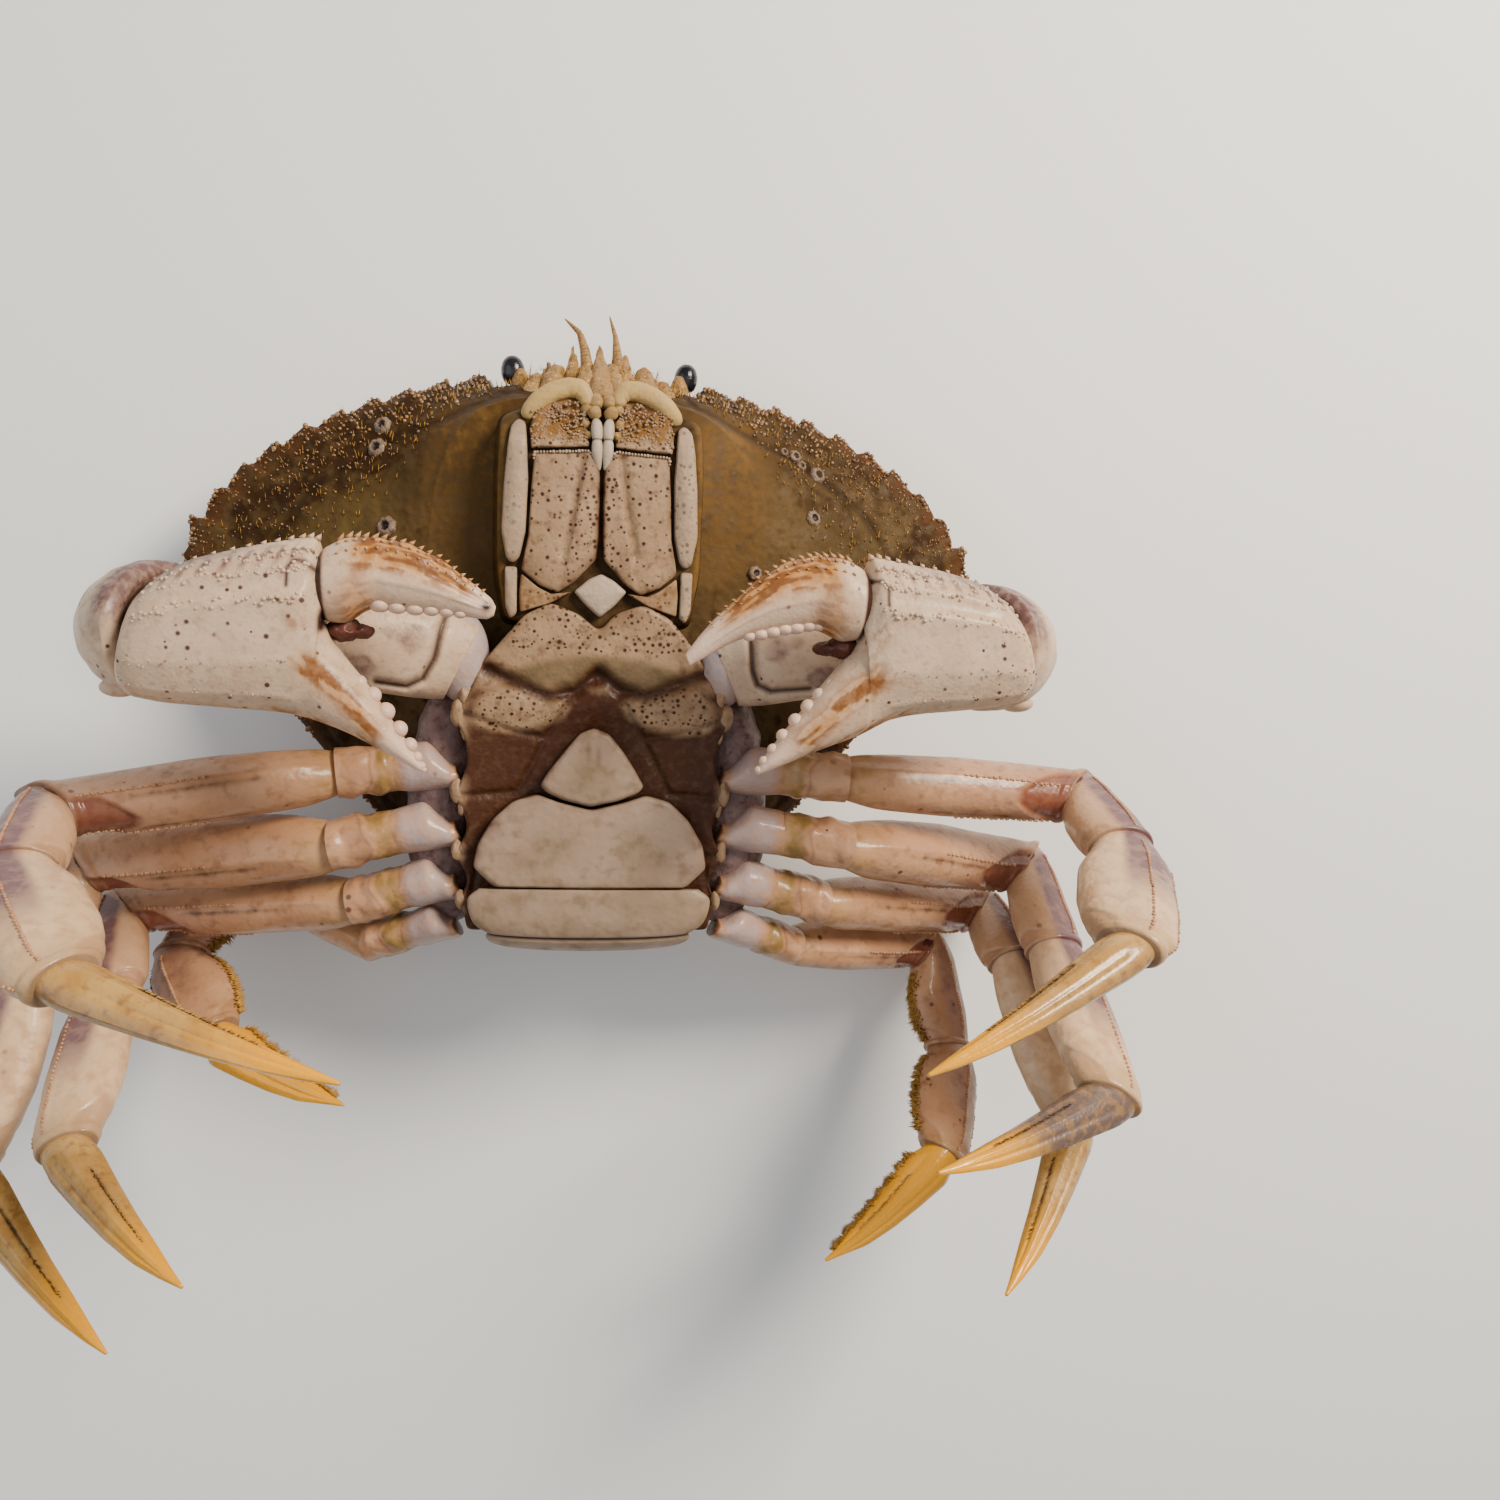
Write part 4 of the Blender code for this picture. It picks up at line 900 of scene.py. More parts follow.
def makeMouthBed(spec):  # a plate 1.9 below the mouth's top, sloping with it, its skirt flared
    m = spec["middle"]

    def skin(x, y):  # smooth lumps
        lift = wobble(np.stack([x, y], -1), 1.6, 42) * 0.35
        return lift, {"gold": ease(16.5, 18.0, abs(x - m)) * 0.7, "front": 0.35}

    bed = plate(onSide(spec["bed"], 1, m), spec["low"] - 4.0, lambda x, y: mouthTop(x, y) - 1.9, 1.2, 0.0,
                skin, 160, 24, 3, None, 0.14)
    bed["masks"]["seam"] *= 0.4
    makePiece("mouthBed", [bed], "shellUnder", ())


# The leaves of one side: long inner plate, its base, the strip beside it with its foot, and the end plate
def makeMaxilliped(sideName, side, spec):
    low, m = spec["low"], spec["middle"]

    def groove(x, y):  # a groove down the plate, a raised inner edge and a notch at the outer rear corner
        gap = lineGap(x, y, onSide(spec["groove"], side, m))
        out = abs(x - m)
        inner = ease(4.9, 3.9, out + (y - 25.0) * 0.16)
        corner = bump(np.hypot(out - 13.4, y - 13.4), 0.0, 2.2)
        dark = bump(gap, 0.0, 0.55) * ease(15.0, 22.0, y) * 0.4 + bump(out, 0.4, 0.5) * 0.6
        return -0.55 * bump(gap, 0.0, 0.9) + 0.3 * inner - 0.5 * corner, {
            "brown": dark + 0.22 * ease(20.0, 12.0, y) * ease(11.0, 4.0, out), "dots": 0.42 + 0.58 * inner,
        }

    def pit(x, y):  # a round pit with a soft edge
        out = abs(x - m)
        deep = bump(np.hypot((out - 6.2) / 3.6, (y - 42.0) / 3.6), 0.0, 0.9)
        rough = wobble(np.stack([x, y], -1), 1.4, 41) * 0.3
        # the brown that grows with the pit's depth is painted shade in the hollow; the brown toward the
        # front is the plate's own colour
        dark = np.clip(deep * 0.85 + 0.25 * ease(37.0, 40.0, y), 0, 1)
        return rough - deep * 1.3, {"gold": ease(36.4, 38.5, y) * 0.95, "brown": dark, "dots": 1.0}

    def gilded(x, y):  # flat, golden and dotted
        return 0.0, {"gold": 0.4, "dots": 0.9}

    def plain(x, y):  # flat, pale and dotted, less so on the right
        return 0.0, {"dots": 0.3 if side < 0 else 0.8, "white": 0.3}

    leaves = [  # outline, drop below the mouth's top, rim, dome, relief, points, rows and middle
        ("ischium", 0.0, 0.7, 0.5, groove, 240, 56, onSide([spec["ischiumMiddle"]], side, m)[0]),
        ("basis", 0.0, 0.5, 0.1, gilded, 80, 16, None), ("exopod", 0.3, 0.9, 0.9, plain, 120, 24, None),
        ("foot", 0.5, 0.7, 0.5, plain, 60, 12, None), ("merus", 0.2, 0.9, 0.3, pit, 140, 40, None),
    ]
    patches = []
    for key, drop, rim, dome, relief, count, rows, middle in leaves:
        patches.append(plate(onSide(spec[key], side, m), low, lambda x, y: mouthTop(x, y) - drop, rim, dome,
                             relief, count, rows, 2, middle))
    makePiece("maxilliped_" + sideName, patches, "plateCream", ["maxilliped_" + sideName])


def makePalp(sideName, side, spec):  # the arch over the end plate, the jointed palp and its knobs
    m = spec["middle"]
    t = np.linspace(0, 1, 90)[:, None]
    seams = bump(t, 0.5, 0.025) + bump(t, 0.0, 0.06)
    gold = 0.4 * ease(0.5, 0.1, t)
    arch = roundRod(onSide(spec["arch"], side, m), 90, 28, 10, 2.2, 0.9, amber=0.95, gold=gold)
    palp = roundRod(onSide(spec["palp"], side, m), 90, 24, 3, white=0.9, seam=seams * 0.8)
    knobs = np.array(onSide(spec["knobs"], side, m))
    knob = crumple(beads(knobs[:, :3], knobs[:, 3], 24, 14, gold=0.7, amber=0.4), 0.8, 52, 0.3)
    makePiece("palp_" + sideName, [arch, palp, knob], "plateCream", ())


# Small beads thrown over the end plate, and a row of them along the front of the long plate's outline
def makeMouthBeads(sideName, side, spec):
    m, count = spec["middle"], spec["beadCount"]
    dice = np.random.default_rng(51 + side)
    out, y = dice.uniform(2.6, 13.0, count), dice.uniform(36.5, 44.5, count)
    root = np.column_stack([m + side * out, y, np.full(count, 0.0)])
    root[:, 2] = mouthTop(root[:, 0], root[:, 1]) - 0.2
    patches = [beads(root, dice.uniform(0.14, 0.34, count), 6, 4, gold=0.9, white=0.3)]
    edge = closedLine(onSide(spec["ischium"], side, m), 240, 2)
    edge = edge[edge[:, 1] > 33.6]
    seat = np.column_stack([edge, mouthTop(*edge.T) + 0.1])[::2]
    patches.append(beads(seat, dice.uniform(0.2, 0.36, len(seat)), 7, 5, gold=0.3, white=0.5))
    makePiece("mouthBeads_" + sideName, patches, "plateCream", ())


makeMouthBed(mouth)
for sideName, side in sides.items():
    for build in (makeMaxilliped, makePalp, makeMouthBeads):
        build(sideName, side, mouth)
print("mouth made")

# Face: eyes on short stalks, feelers and the lobes and bristles of the brow. The eyeball's rows are the
# place ahead of the eye and the radius; the stalk's are out, ahead and up from the eye, and the radius
face = {
    "eyes": {"left": (17.4, 48.2, 18.4), "right": (-15.7, 48.0, 18.4)},
    "eyeball": [(1.8, 1.2), (2.6, 2.0), (3.8, 2.35), (5.2, 2.3), (6.5, 1.8), (7.4, 0.8)],
    "stalk": [
        (-3.4, -2.6, 4.4, 2.0), (-1.8, -0.2, 2.4, 2.0), (-0.9, 1.6, 1.4, 1.9), (-1.1, 3.2, 1.9, 1.5),
        (-1.0, 4.8, 1.9, 0.7),
    ],
    "feelers": {
        "left": [
            (3.6, 47.0, 27.5, 1.7), (3.9, 52.0, 25.0, 1.5), (3.9, 55.5, 23.6, 1.0),
            (3.5, 59.4, 22.4, 0.5), (2.3, 63.6, 21.2, 0.16),
        ],
        "right": [
            (-2.0, 47.0, 27.5, 1.6), (-1.8, 52.0, 25.0, 1.35), (-2.4, 56.4, 23.4, 0.95),
            (-3.4, 59.8, 22.4, 0.6), (-6.4, 62.6, 21.2, 0.16),
        ],
    },
    "lobes": [
        [
            (-4.6, 46.0, 30.0, 1.9), (-4.8, 50.5, 26.0, 1.6), (-4.7, 54.0, 23.5, 0.9),
            (-4.6, 57.4, 22.0, 0.18),
        ],
        [
            (0.5, 44.0, 36.0, 2.6), (0.6, 47.5, 32.0, 2.5), (0.6, 51.5, 26.5, 2.1),
            (0.5, 54.5, 23.5, 1.1), (0.4, 57.7, 22.0, 0.2),
        ],
        [(4.9, 46.0, 30.0, 2.2), (5.2, 50.5, 26.0, 1.9), (5.3, 53.5, 23.6, 1.2), (5.4, 56.0, 22.2, 0.3)],
        [
            (-2.6, 45.5, 33.0, 2.2), (-2.4, 49.0, 29.5, 2.0), (-2.2, 52.0, 26.0, 1.2),
            (-2.0, 53.6, 24.5, 0.5),
        ],
        [(3.2, 45.5, 33.0, 2.2), (3.2, 49.0, 29.5, 2.0), (2.8, 52.4, 26.0, 1.2), (2.6, 54.0, 24.5, 0.5)],
        [(-9.0, 45.0, 31.0, 2.6), (-8.4, 49.4, 27.6, 2.2), (-7.6, 52.6, 25.0, 1.2)],
        [(9.6, 45.0, 31.0, 2.6), (9.2, 49.4, 27.6, 2.3), (8.6, 52.8, 25.0, 1.2)],
        [(-12.6, 43.0, 31.0, 2.4), (-12.2, 47.6, 27.6, 2.1), (-11.4, 50.6, 25.0, 1.2)],
        [(13.4, 43.0, 31.0, 2.4), (13.0, 47.4, 27.6, 2.1), (12.2, 50.4, 25.0, 1.2)],
    ],
    "hairCount": 1500, "hairX": (-15, 16), "hairY": 50.8, "hairZ": (18.0, 29.0), "hairRadius": 0.1,
}


def makeEye(sideName, side, spec):  # three rods: a short black ball, its stalk and a banded feeler
    x, y, z = spec["eyes"][sideName]
    ball = roundRod([(x + side * 0.1 * d, y + d, z, r) for d, r in spec["eyeball"]], 40, 32, 6)
    makePiece("eye_" + sideName, [ball], "eyeBlack", ["eye_" + sideName])
    stalk = roundRod([(x + side * dx, y + dy, z + dz, r) for dx, dy, dz, r in spec["stalk"]], 40, 24, 6)
    makePiece("eyeStalk_" + sideName, [stalk], "feelerTan", ())
    t = np.linspace(0, 1, 110)[:, None]
    feeler = roundRod(spec["feelers"][sideName], 110, 14, 10, brown=0.4 * (np.cos(t * 150) > 0.3))  # banded
    makePiece("feeler_" + sideName, [feeler], "feelerTan", ["antenna_" + sideName])


# Lobes are crumpled rods; the bristles stand on a shallow arch and are longer in clumps
def makeBrow(spec):
    lobes = [crumple(roundRod(rows, 60, 24, 10), 1.2, 80 + k, 0.35) for k, rows in enumerate(spec["lobes"])]
    makePiece("browLobes", lobes, "feelerTan", ())
    dice = np.random.default_rng(61)
    count = spec["hairCount"]
    x = dice.uniform(*spec["hairX"], count)
    y = spec["hairY"] - 0.012 * x ** 2 + dice.normal(0, 0.9, count)
    root = np.column_stack([x, y, dice.uniform(*spec["hairZ"], count)])
    lean = x * 0.02 + dice.normal(0, 0.25, count)
    way = np.column_stack([lean, np.ones(count), dice.normal(0.2, 0.3, count)])
    length = dice.uniform(0.6, 1.7, count) + 1.2 * bump(np.sin(x * 1.3), 1.0, 0.4)
    makePiece("browHair", [spikes(root, way, length, spec["hairRadius"])], "hair", ())


for sideName, side in sides.items():
    makeEye(sideName, side, face)
makeBrow(face)
print("face made")

# Walking legs, numbered from the front: the same joints as the solids, each segment a ring carried
# between the planes that halve its bends. A pose is the heading and rise of each segment, in degrees
legs = {
    "start": {
        1: (24.85, -22.5, 40.3),
        2: (24.85, -33.0, 40.1),
        3: (24.85, -43.2, 39.8),
        4: (24.85, -52.0, 38.6),
    },
    "length": {
        1: (22, 48, 21, 31, 44),
        2: (23, 46, 23, 33, 42),
        3: (20, 46, 20, 34, 39),
        4: (18, 36, 22, 25, 31),
    },
    "height": {1: 12.5, 2: 12.5, 3: 11.6, 4: 10.2},
    "thick": {1: 9.4, 2: 9.2, 3: 8.8, 4: 7.6},
    "base": {1: 9.2, 2: 9.2, 3: 8.8, 4: 7.4},
    "shin": {1: 1.36, 2: 1.18, 3: 1.18, 4: 1.32},
    "spread": {"left": 1.6, "right": 0.0},
    "pose": {
        ("left", 1): ((-3, 6), (-4, -5), (-75, 69), (-125, 61), (-156, 19)),
        ("left", 2): ((-9, 5), (-10, -23), (-85, 54), (-82, 49), (-171, 26)),
        ("left", 3): ((-16, -9), (-9, -29), (-73, 68), (-75, 33), (-133, 40)),
        ("left", 4): ((-24, -24), (-8, -27), (-79, 25), (-111, 49), (-143, 14)),
        ("right", 1): ((-6, -3), (-7, 17), (-96, 71), (-142, 55), (-164, 17)),
        ("right", 2): ((-13, 0), (-7, -9), (-68, 21), (-78, 24), (-139, 28)),
        ("right", 3): ((-18, -9), (-6, -17), (-92, 51), (-91, 57), (-155, 46)),
        ("right", 4): ((-21, -22), (20, -38), (-54, 30), (-136, 54), (-163, 33)),
    },
    "crests": {"merus": (0.0, 2.2, -2.2), "carpus": (0.0, 1.1, -1.1), "propodus": (0.0, 1.1, -1.1)},
    "crestFrom": {"merus": 0.5, "carpus": 0.12, "propodus": 0.12}, "crestBeads": 34,
    "kneeTurn": {"merus": np.pi - 0.35, "carpus": np.pi, "propodus": np.pi},
    "along": {"merus": 116, "carpus": 84, "propodus": 116, "dactyl": 116}, "around": 80,
    "ball": {"merus": 0.35, "carpus": 0.3, "propodus": 0.26}, "baseShare": 0.52,
    "tipHairs": 90, "bristles": 520, "greyTip": ("left", 2),
    "skin": [
        (24.6, -9.0, 36.5, 4.6), (27.0, -17.0, 36.2, 5.6), (28.0, -28.0, 36.0, 6.0),
        (28.0, -38.0, 35.6, 6.0), (26.5, -47.0, 35.0, 5.4), (24.6, -53.0, 34.4, 4.0),
    ],
}


def aim(side, heading, rise):  # the unit vector at these two angles, as on a globe
    h, r = np.radians(heading), np.radians(rise)
    return np.array([side * np.cos(r) * np.cos(h), np.cos(r) * np.sin(h), np.sin(r)])


def legForms(number, spec):  # place along, height, thickness and lift of the rings of each segment
    h, k, b = spec["height"][number], spec["thick"][number], spec["base"][number]
    shin = h * spec["shin"][number]
    p = h * (1.2 if number == 4 else 1.0)
    wide = 1.22 if number == 2 else 1.06
    return {
        "coxa": [
            (0, 7.6, 0.8 * b, 0), (0.12, 9.6, 0.95 * b, 0), (0.4, 10.9, b, 0), (0.75, 10.3, 0.97 * b, 0),
            (1, 8.8, 0.88 * b, 0),
        ],
        "ischium": [
            (0, 8.8, 0.9 * b, 0), (0.2, 9.8, 0.97 * b, 0), (0.5, 10.2, b, 0), (0.8, 10.6, 1.02 * b, 0),
            (1, 0.94 * h, 0.99 * k, 0),
        ],
        "merus": [
            (0, 0.66 * h, 0.76 * k, 0), (0.05, 0.88 * h, 0.97 * k, 0), (0.2, 0.98 * h, wide * k, 0.3),
            (0.45, 1.06 * h, wide * 1.04 * k, 0.5), (0.8, 1.0 * h, k, 0.3), (0.93, 0.92 * h, k, 0.2),
            (1, 0.88 * h, k, 0.2),
        ],
        "carpus": [
            (0, 0.7 * h, 0.82 * k, 0.5), (0.07, 0.84 * h, 0.96 * k, 0.6), (0.3, p, 1.05 * k, 0.3),
            (0.7, 1.05 * p, 1.03 * k, 0), (0.94, 0.98 * h, 0.98 * k, 0), (1, 0.94 * h, 0.96 * k, 0),
        ],
        "propodus": [
            (0, 0.82 * h, 0.86 * k, 0.3), (0.05, 0.94 * h, 0.95 * k, 0.3),
            (0.25, 0.96 * shin, 0.98 * k, 0.2), (0.6, shin, 0.97 * k, 0),
            (0.88, 0.88 * shin, 0.87 * k, 0), (1, 0.8 * h, 0.82 * k, -0.2),
        ],
        "dactyl": [
            (0, 0.6 * h, 0.66 * k, 0), (0.05, 0.72 * h, 0.78 * k, 0.3), (0.15, 0.69 * p, 0.72 * k, 0.6),
            (0.35, 0.58 * p, 0.58 * k, 1.0), (0.55, 0.46 * p, 0.46 * k, 1.2),
            (0.75, 0.32 * p, 0.33 * k, 1.0), (0.9, 0.18 * h, 0.2 * k, 0.5), (1, 0.6, 0.6, 0),
        ],
    }


# A segment's joints one after another, each a length along its aim from the last. A cut is the plane
# across half the bend between two segments, and the hinge is the mean axis that they bend about
def layLeg(sideName, number, spec):
    side = sides[sideName]
    aims = [aim(side, *angles) for angles in spec["pose"][sideName, number]]
    lengths = list(spec["length"][number])
    lengths[0] += spec["spread"][sideName]
    x, y, z = spec["start"][number]
    joints = [np.array([side * x, y, z])]
    for way, length in zip(aims, lengths):
        joints.append(joints[-1] + way * length)
    bends = [unit(a + b) for a, b in zip(aims, aims[1:])]
    return {
        "tag": "_leg%d_%s" % (number, sideName), "side": side, "number": number, "sideName": sideName,
        "node": "leg%d_%%s_%s" % (number, sideName), "joints": joints, "aims": aims,
        "cuts": [np.array([side, 0.0, 0.0]), *bends, aims[-1]],
        "hinge": sum(np.cross(aims[i], aims[i + 1]) for i in (1, 2, 3)), "forms": legForms(number, spec),
    }


# Rings between two cutting planes: across the limb c runs from the outer edge of its bend to the inner
# one and s from one flat side to the other. Each point slides along the limb to its plane, the planes
# being eased by the mitre on the inner side, and the first rings are tucked back into the joint
def limbRings(start, end, startCut, endCut, hinge, form, along, around, power, relief, tuck=1.3):
    axis = unit(end - start)
    length = np.linalg.norm(end - start)
    back = unit(np.cross(axis, hinge))
    side = np.cross(axis, back)
    height, thick, lift = (column[:, None] for column in spreadAt(form, along, 9).T)
    angle, c, s = oval(around, power)
    t = np.linspace(0.0, 1.0, along)[:, None]
    push = relief(t, angle[None])
    off = back * (c * (height / 2.0 + push) + lift)[..., None] + side * (s * (thick / 2.0 + push))[..., None]
    mitre = 0.9 + 0.1 * c
    near = -mitre * (off @ startCut) / (axis @ startCut)
    far = length - mitre * (off @ endCut) / (axis @ endCut)
    rings = start + off + axis * (near + (far - near) * t - tuck * ease(0.07, 0.0, t))[..., None]
    return rings, t, angle[None]


def gapTo(angle, middle):  # the turn from one angle to another, -pi to pi
    return (angle - middle + np.pi) % fullTurn - np.pi


def turnTo(angle, middle, width):  # a bell curve round a ring's angle
    return np.exp(-(gapTo(angle, middle) / width) ** 2)


def ridgeAt(angle, middle, width):  # a sharp crest at a ring's angle that falls off exponentially
    return np.exp(-abs(gapTo(angle, middle)) / width)


def columnAt(angle, around):  # the point of a ring nearest to an angle
    return int(round((angle % fullTurn) / fullTurn * around)) % around


def roundPlace(t, angle, along, across, through):  # where lumps of a limb are laid: along it and round it
    return np.stack(np.broadcast_arrays(t * along, np.cos(angle) * across, np.sin(angle) * through), -1)


def kneeSkin(t, angle, turn):  # a rounded triangle of soft skin at the far end, widest at the rim
    wide = 0.2 + 1.15 * ease(0.74, 0.92, t)
    return ease(wide, wide * 0.8, abs(gapTo(angle, turn))) * ease(0.75, 0.8, t) * ease(1.0, 0.985, t)


def legLumps(t, angle, number):  # low smooth lumps
    return wobble(roundPlace(t, angle, 9.0, 2.0, 2.0), 3.0, number) * 0.35


def baseCrinkle(t, angle, number):  # stronger lumps, fading at both ends
    lumps = wobble(roundPlace(t, angle, 14.0, 4.0, 4.0), 2.6, number + 40)
    return lumps * 0.65 * ease(0.0, 0.2, t) * ease(1.0, 0.7, t)


def merusKeels(t, angle, number):  # three keels, a rim and a tooth at the knee, less the soft triangle
    crest = ridgeAt(angle, 0.0, 0.25) * 0.7
    crest = crest + ridgeAt(angle, 2.2, 0.16) * 0.45 + ridgeAt(angle, -2.2, 0.16) * 0.45
    rim = ease(0.94, 0.965, t) * ease(1.0, 0.985, t) * 0.4
    tooth = turnTo(angle, 0.0, 0.4) * ease(0.9, 0.985, t) * 1.1
    knee = kneeSkin(t, angle, legs["kneeTurn"]["merus"])
    return (crest * ease(0.03, 0.15, t) + rim + tooth) - knee * 0.8 + legLumps(t, angle, number)


def shinKeels(t, angle, number):  # three lower keels and a rim
    crest = ridgeAt(angle, 0.0, 0.3) * 0.5 + (ridgeAt(angle, 1.1, 0.14) + ridgeAt(angle, -1.1, 0.14)) * 0.35
    rim = ease(0.93, 0.96, t) * ease(1.0, 0.985, t) * 0.35
    knee = kneeSkin(t, angle, np.pi)
    return crest * ease(0.03, 0.15, t) * ease(1.0, 0.8, t) + rim - knee * 0.3 + legLumps(t, angle, number)


def tipGrooves(t, angle, number):  # four crests with four grooves between them, fading to both ends
    cut = sum(turnTo(angle, a, 0.16) for a in (0.95, -0.95, 2.15, -2.15))
    crest = sum(ridgeAt(angle, a, 0.2) for a in (0.0, 1.57, -1.57, np.pi))
    return (0.3 * crest - 0.3 * cut) * (ease(0.05, 0.14, t) * ease(0.95, 0.7, t))


reliefs = {"merus": merusKeels, "carpus": shinKeels, "propodus": shinKeels, "dactyl": tipGrooves}


# The two segments at the body. The first is flattened where it meets the body and the second has a
# golden collar with a wavy edge
def makeLegBase(leg, spec):
    side, number, joints = leg["side"], leg["number"], leg["joints"]
    flat = np.array([0.0, -side, 0.0])
    middle = joints[0] + (joints[1] - joints[0]) * spec["baseShare"]
    rings, t, angle = limbRings(
        joints[0], middle, leg["cuts"][0], leg["aims"][0], flat, leg["forms"]["coxa"], 60, 64, 2.2,
        lambda t, angle: legLumps(t, angle, number), 0.0,
    )
    low = rings[..., 1].min(axis=1, keepdims=True)
    rings[..., 1] = low + (rings[..., 1] - low) * (0.5 + 0.5 * ease(0.0, 0.5, t))
    rings[..., 0] -= side * 1.5 * np.clip(1.0 - (rings[..., 1] - low) / 2.5, 0.0, 1.0) * ease(0.5, 0.0, t)
    masks = {
        "blue": 0.65 * ease(0.02, 0.15, t) * ease(0.95, 0.7, t), "seam": ease(0.03, 0.0, t) * 0.5,
        "gold": 0.4 * ease(0.84, 1.0, t),
    }
    makePiece("coxa" + leg["tag"], [tube(rings, **masks)], "legCream", [leg["node"] % "base"])
    rings, t, angle = limbRings(
        middle, joints[1], leg["aims"][0], leg["cuts"][1], flat, leg["forms"]["ischium"], 70, 64, 2.2,
        lambda t, angle: baseCrinkle(t, angle, number),
    )
    wave = 0.07 * np.sin(angle * 2.0 + number) + 0.03 * np.sin(angle * 5.0)
    soft = ease(0.36, 0.26, t + wave) * ease(0.0, 0.08, t)
    seam = np.clip(ease(0.03, 0.0, t) * 0.6 + bump(t + wave, 0.42, 0.025) * 0.3, 0, 1)
    masks = {"gold": 0.85 * soft, "seam": seam, "line": 0.2 * soft}
    makePiece("ischium" + leg["tag"], [tube(rings, **masks)], "legCream", ())


# Colour of a tip: yellow to the point, dark lines in the inner grooves, grey along the outer crest
def tipMasks(leg, spec, t, angle):
    dark = leg["number"] < 4
    lines = ((0.95, 0.25), (-0.95, 0.25), (2.15, 0.75), (-2.15, 0.75))
    line = sum(turnTo(angle, a, 0.08) * strength for a, strength in lines)
    isGrey = (leg["sideName"], leg["number"]) == spec["greyTip"]
    grey = 0.95 if isGrey else 0.4 * turnTo(angle, 0.0, 0.5)
    return {
        "tip": np.maximum(ease(0.4, 0.84, t), 0.85 * (not dark)), "plum": grey * ease(0.7, 0.42, t),
        "line": line * ease(0.2, 0.34, t) * ease(0.74, 0.62, t) * dark,
    }


# Colour of the other segments: plum to the outer side, gold near a joint, soft skin at the knee
def segmentMasks(leg, spec, part, rings, t, angle):
    number = leg["number"]
    knee = kneeSkin(t, angle, spec["kneeTurn"][part])
    if part == "merus":
        groove = turnTo(angle, 2.45, 0.08) + turnTo(angle, -2.45, 0.08)
        groove = groove * ease(0.22, 0.4, t) * ease(0.8, 0.74, t)
        return {
            "skin": knee, "line": np.clip(groove, 0, 1) * 0.6, "gold": 0.35 * ease(0.2, 0.0, t),
            "plum": 0.3 * ease(0.5, 0.9, t) * turnTo(angle, np.pi, 1.2),
        }
    outer = unit(rings - rings.mean(1, keepdims=True)) @ unit(np.array([leg["side"] * 0.8, 0.6, 0.25]))
    fade = ease(0.0, 0.1, t) if part == "carpus" else ease(0.75, 0.3, t)
    return {
        "skin": knee * 0.25, "plum": ease(0.3, 0.75, outer) * fade * (0.35 if number == 4 else 1.0),
        "gold": 0.4 * ease(0.75, 1.0, t) * (part == "propodus"),
        "pale": (0.8 if part == "propodus" else 0.3) * (number < 4),
    }


def tipHairs(leg, spec, rings, dice):  # hairs that stand along the two inner grooves
    patches = []
    count, along = spec["tipHairs"], len(rings)
    ahead = unit(leg["joints"][5] - leg["joints"][4])
    for a in (2.15, -2.15):
        row = np.linspace(28, along * 0.7, count).astype(int)
        root = rings[row, columnAt(a, spec["around"])] + dice.normal(0, 0.08, (count, 3))
        out = unit(root - rings[row].mean(1))
        way = ahead * 1.2 + out + dice.normal(0, 0.25, (count, 3))
        dark = 0.8 * (leg["number"] < 4)
        patches.append(spikes(root, way, dice.uniform(0.5, 1.1, count), 0.13, line=dark))
    return patches


def crestBeads(spec, part, rings, dice):  # a row of beads on each keel
    patches = []
    along, count = len(rings), spec["crestBeads"]
    for a in spec["crests"][part]:
        row = np.linspace(along * spec["crestFrom"][part], along * 0.93, count).astype(int)
        seat = rings[row, columnAt(a, spec["around"])]
        patches.append(beads(seat, dice.uniform(0.22, 0.42, count), 7, 4))
    return patches


def makeBristles(leg, spec, i, rings, dice):  # clumps of bristle along the inner edge of a hind leg
    count, along, around = spec["bristles"], len(rings), spec["around"]
    row = (dice.uniform(0.12, 0.92, count) * along).astype(int)
    clump = 0.5 + 0.5 * np.sin(row / along * 60.0)
    column = (around // 2 + dice.normal(0, 2.2, count).round().astype(int)) % around
    root = rings[row, column]
    ahead = unit(leg["joints"][i + 1] - leg["joints"][i])
    way = unit(root - rings[row].mean(1)) + ahead * 0.35 + dice.normal(0, 0.18, (count, 3))
    fringe = spikes(root, way, (1.1 + 0.7 * clump) * dice.uniform(0.7, 1.1, count), 0.17)
    makePiece("bristle%d%s" % (i, leg["tag"]), [fringe], "hair", ())


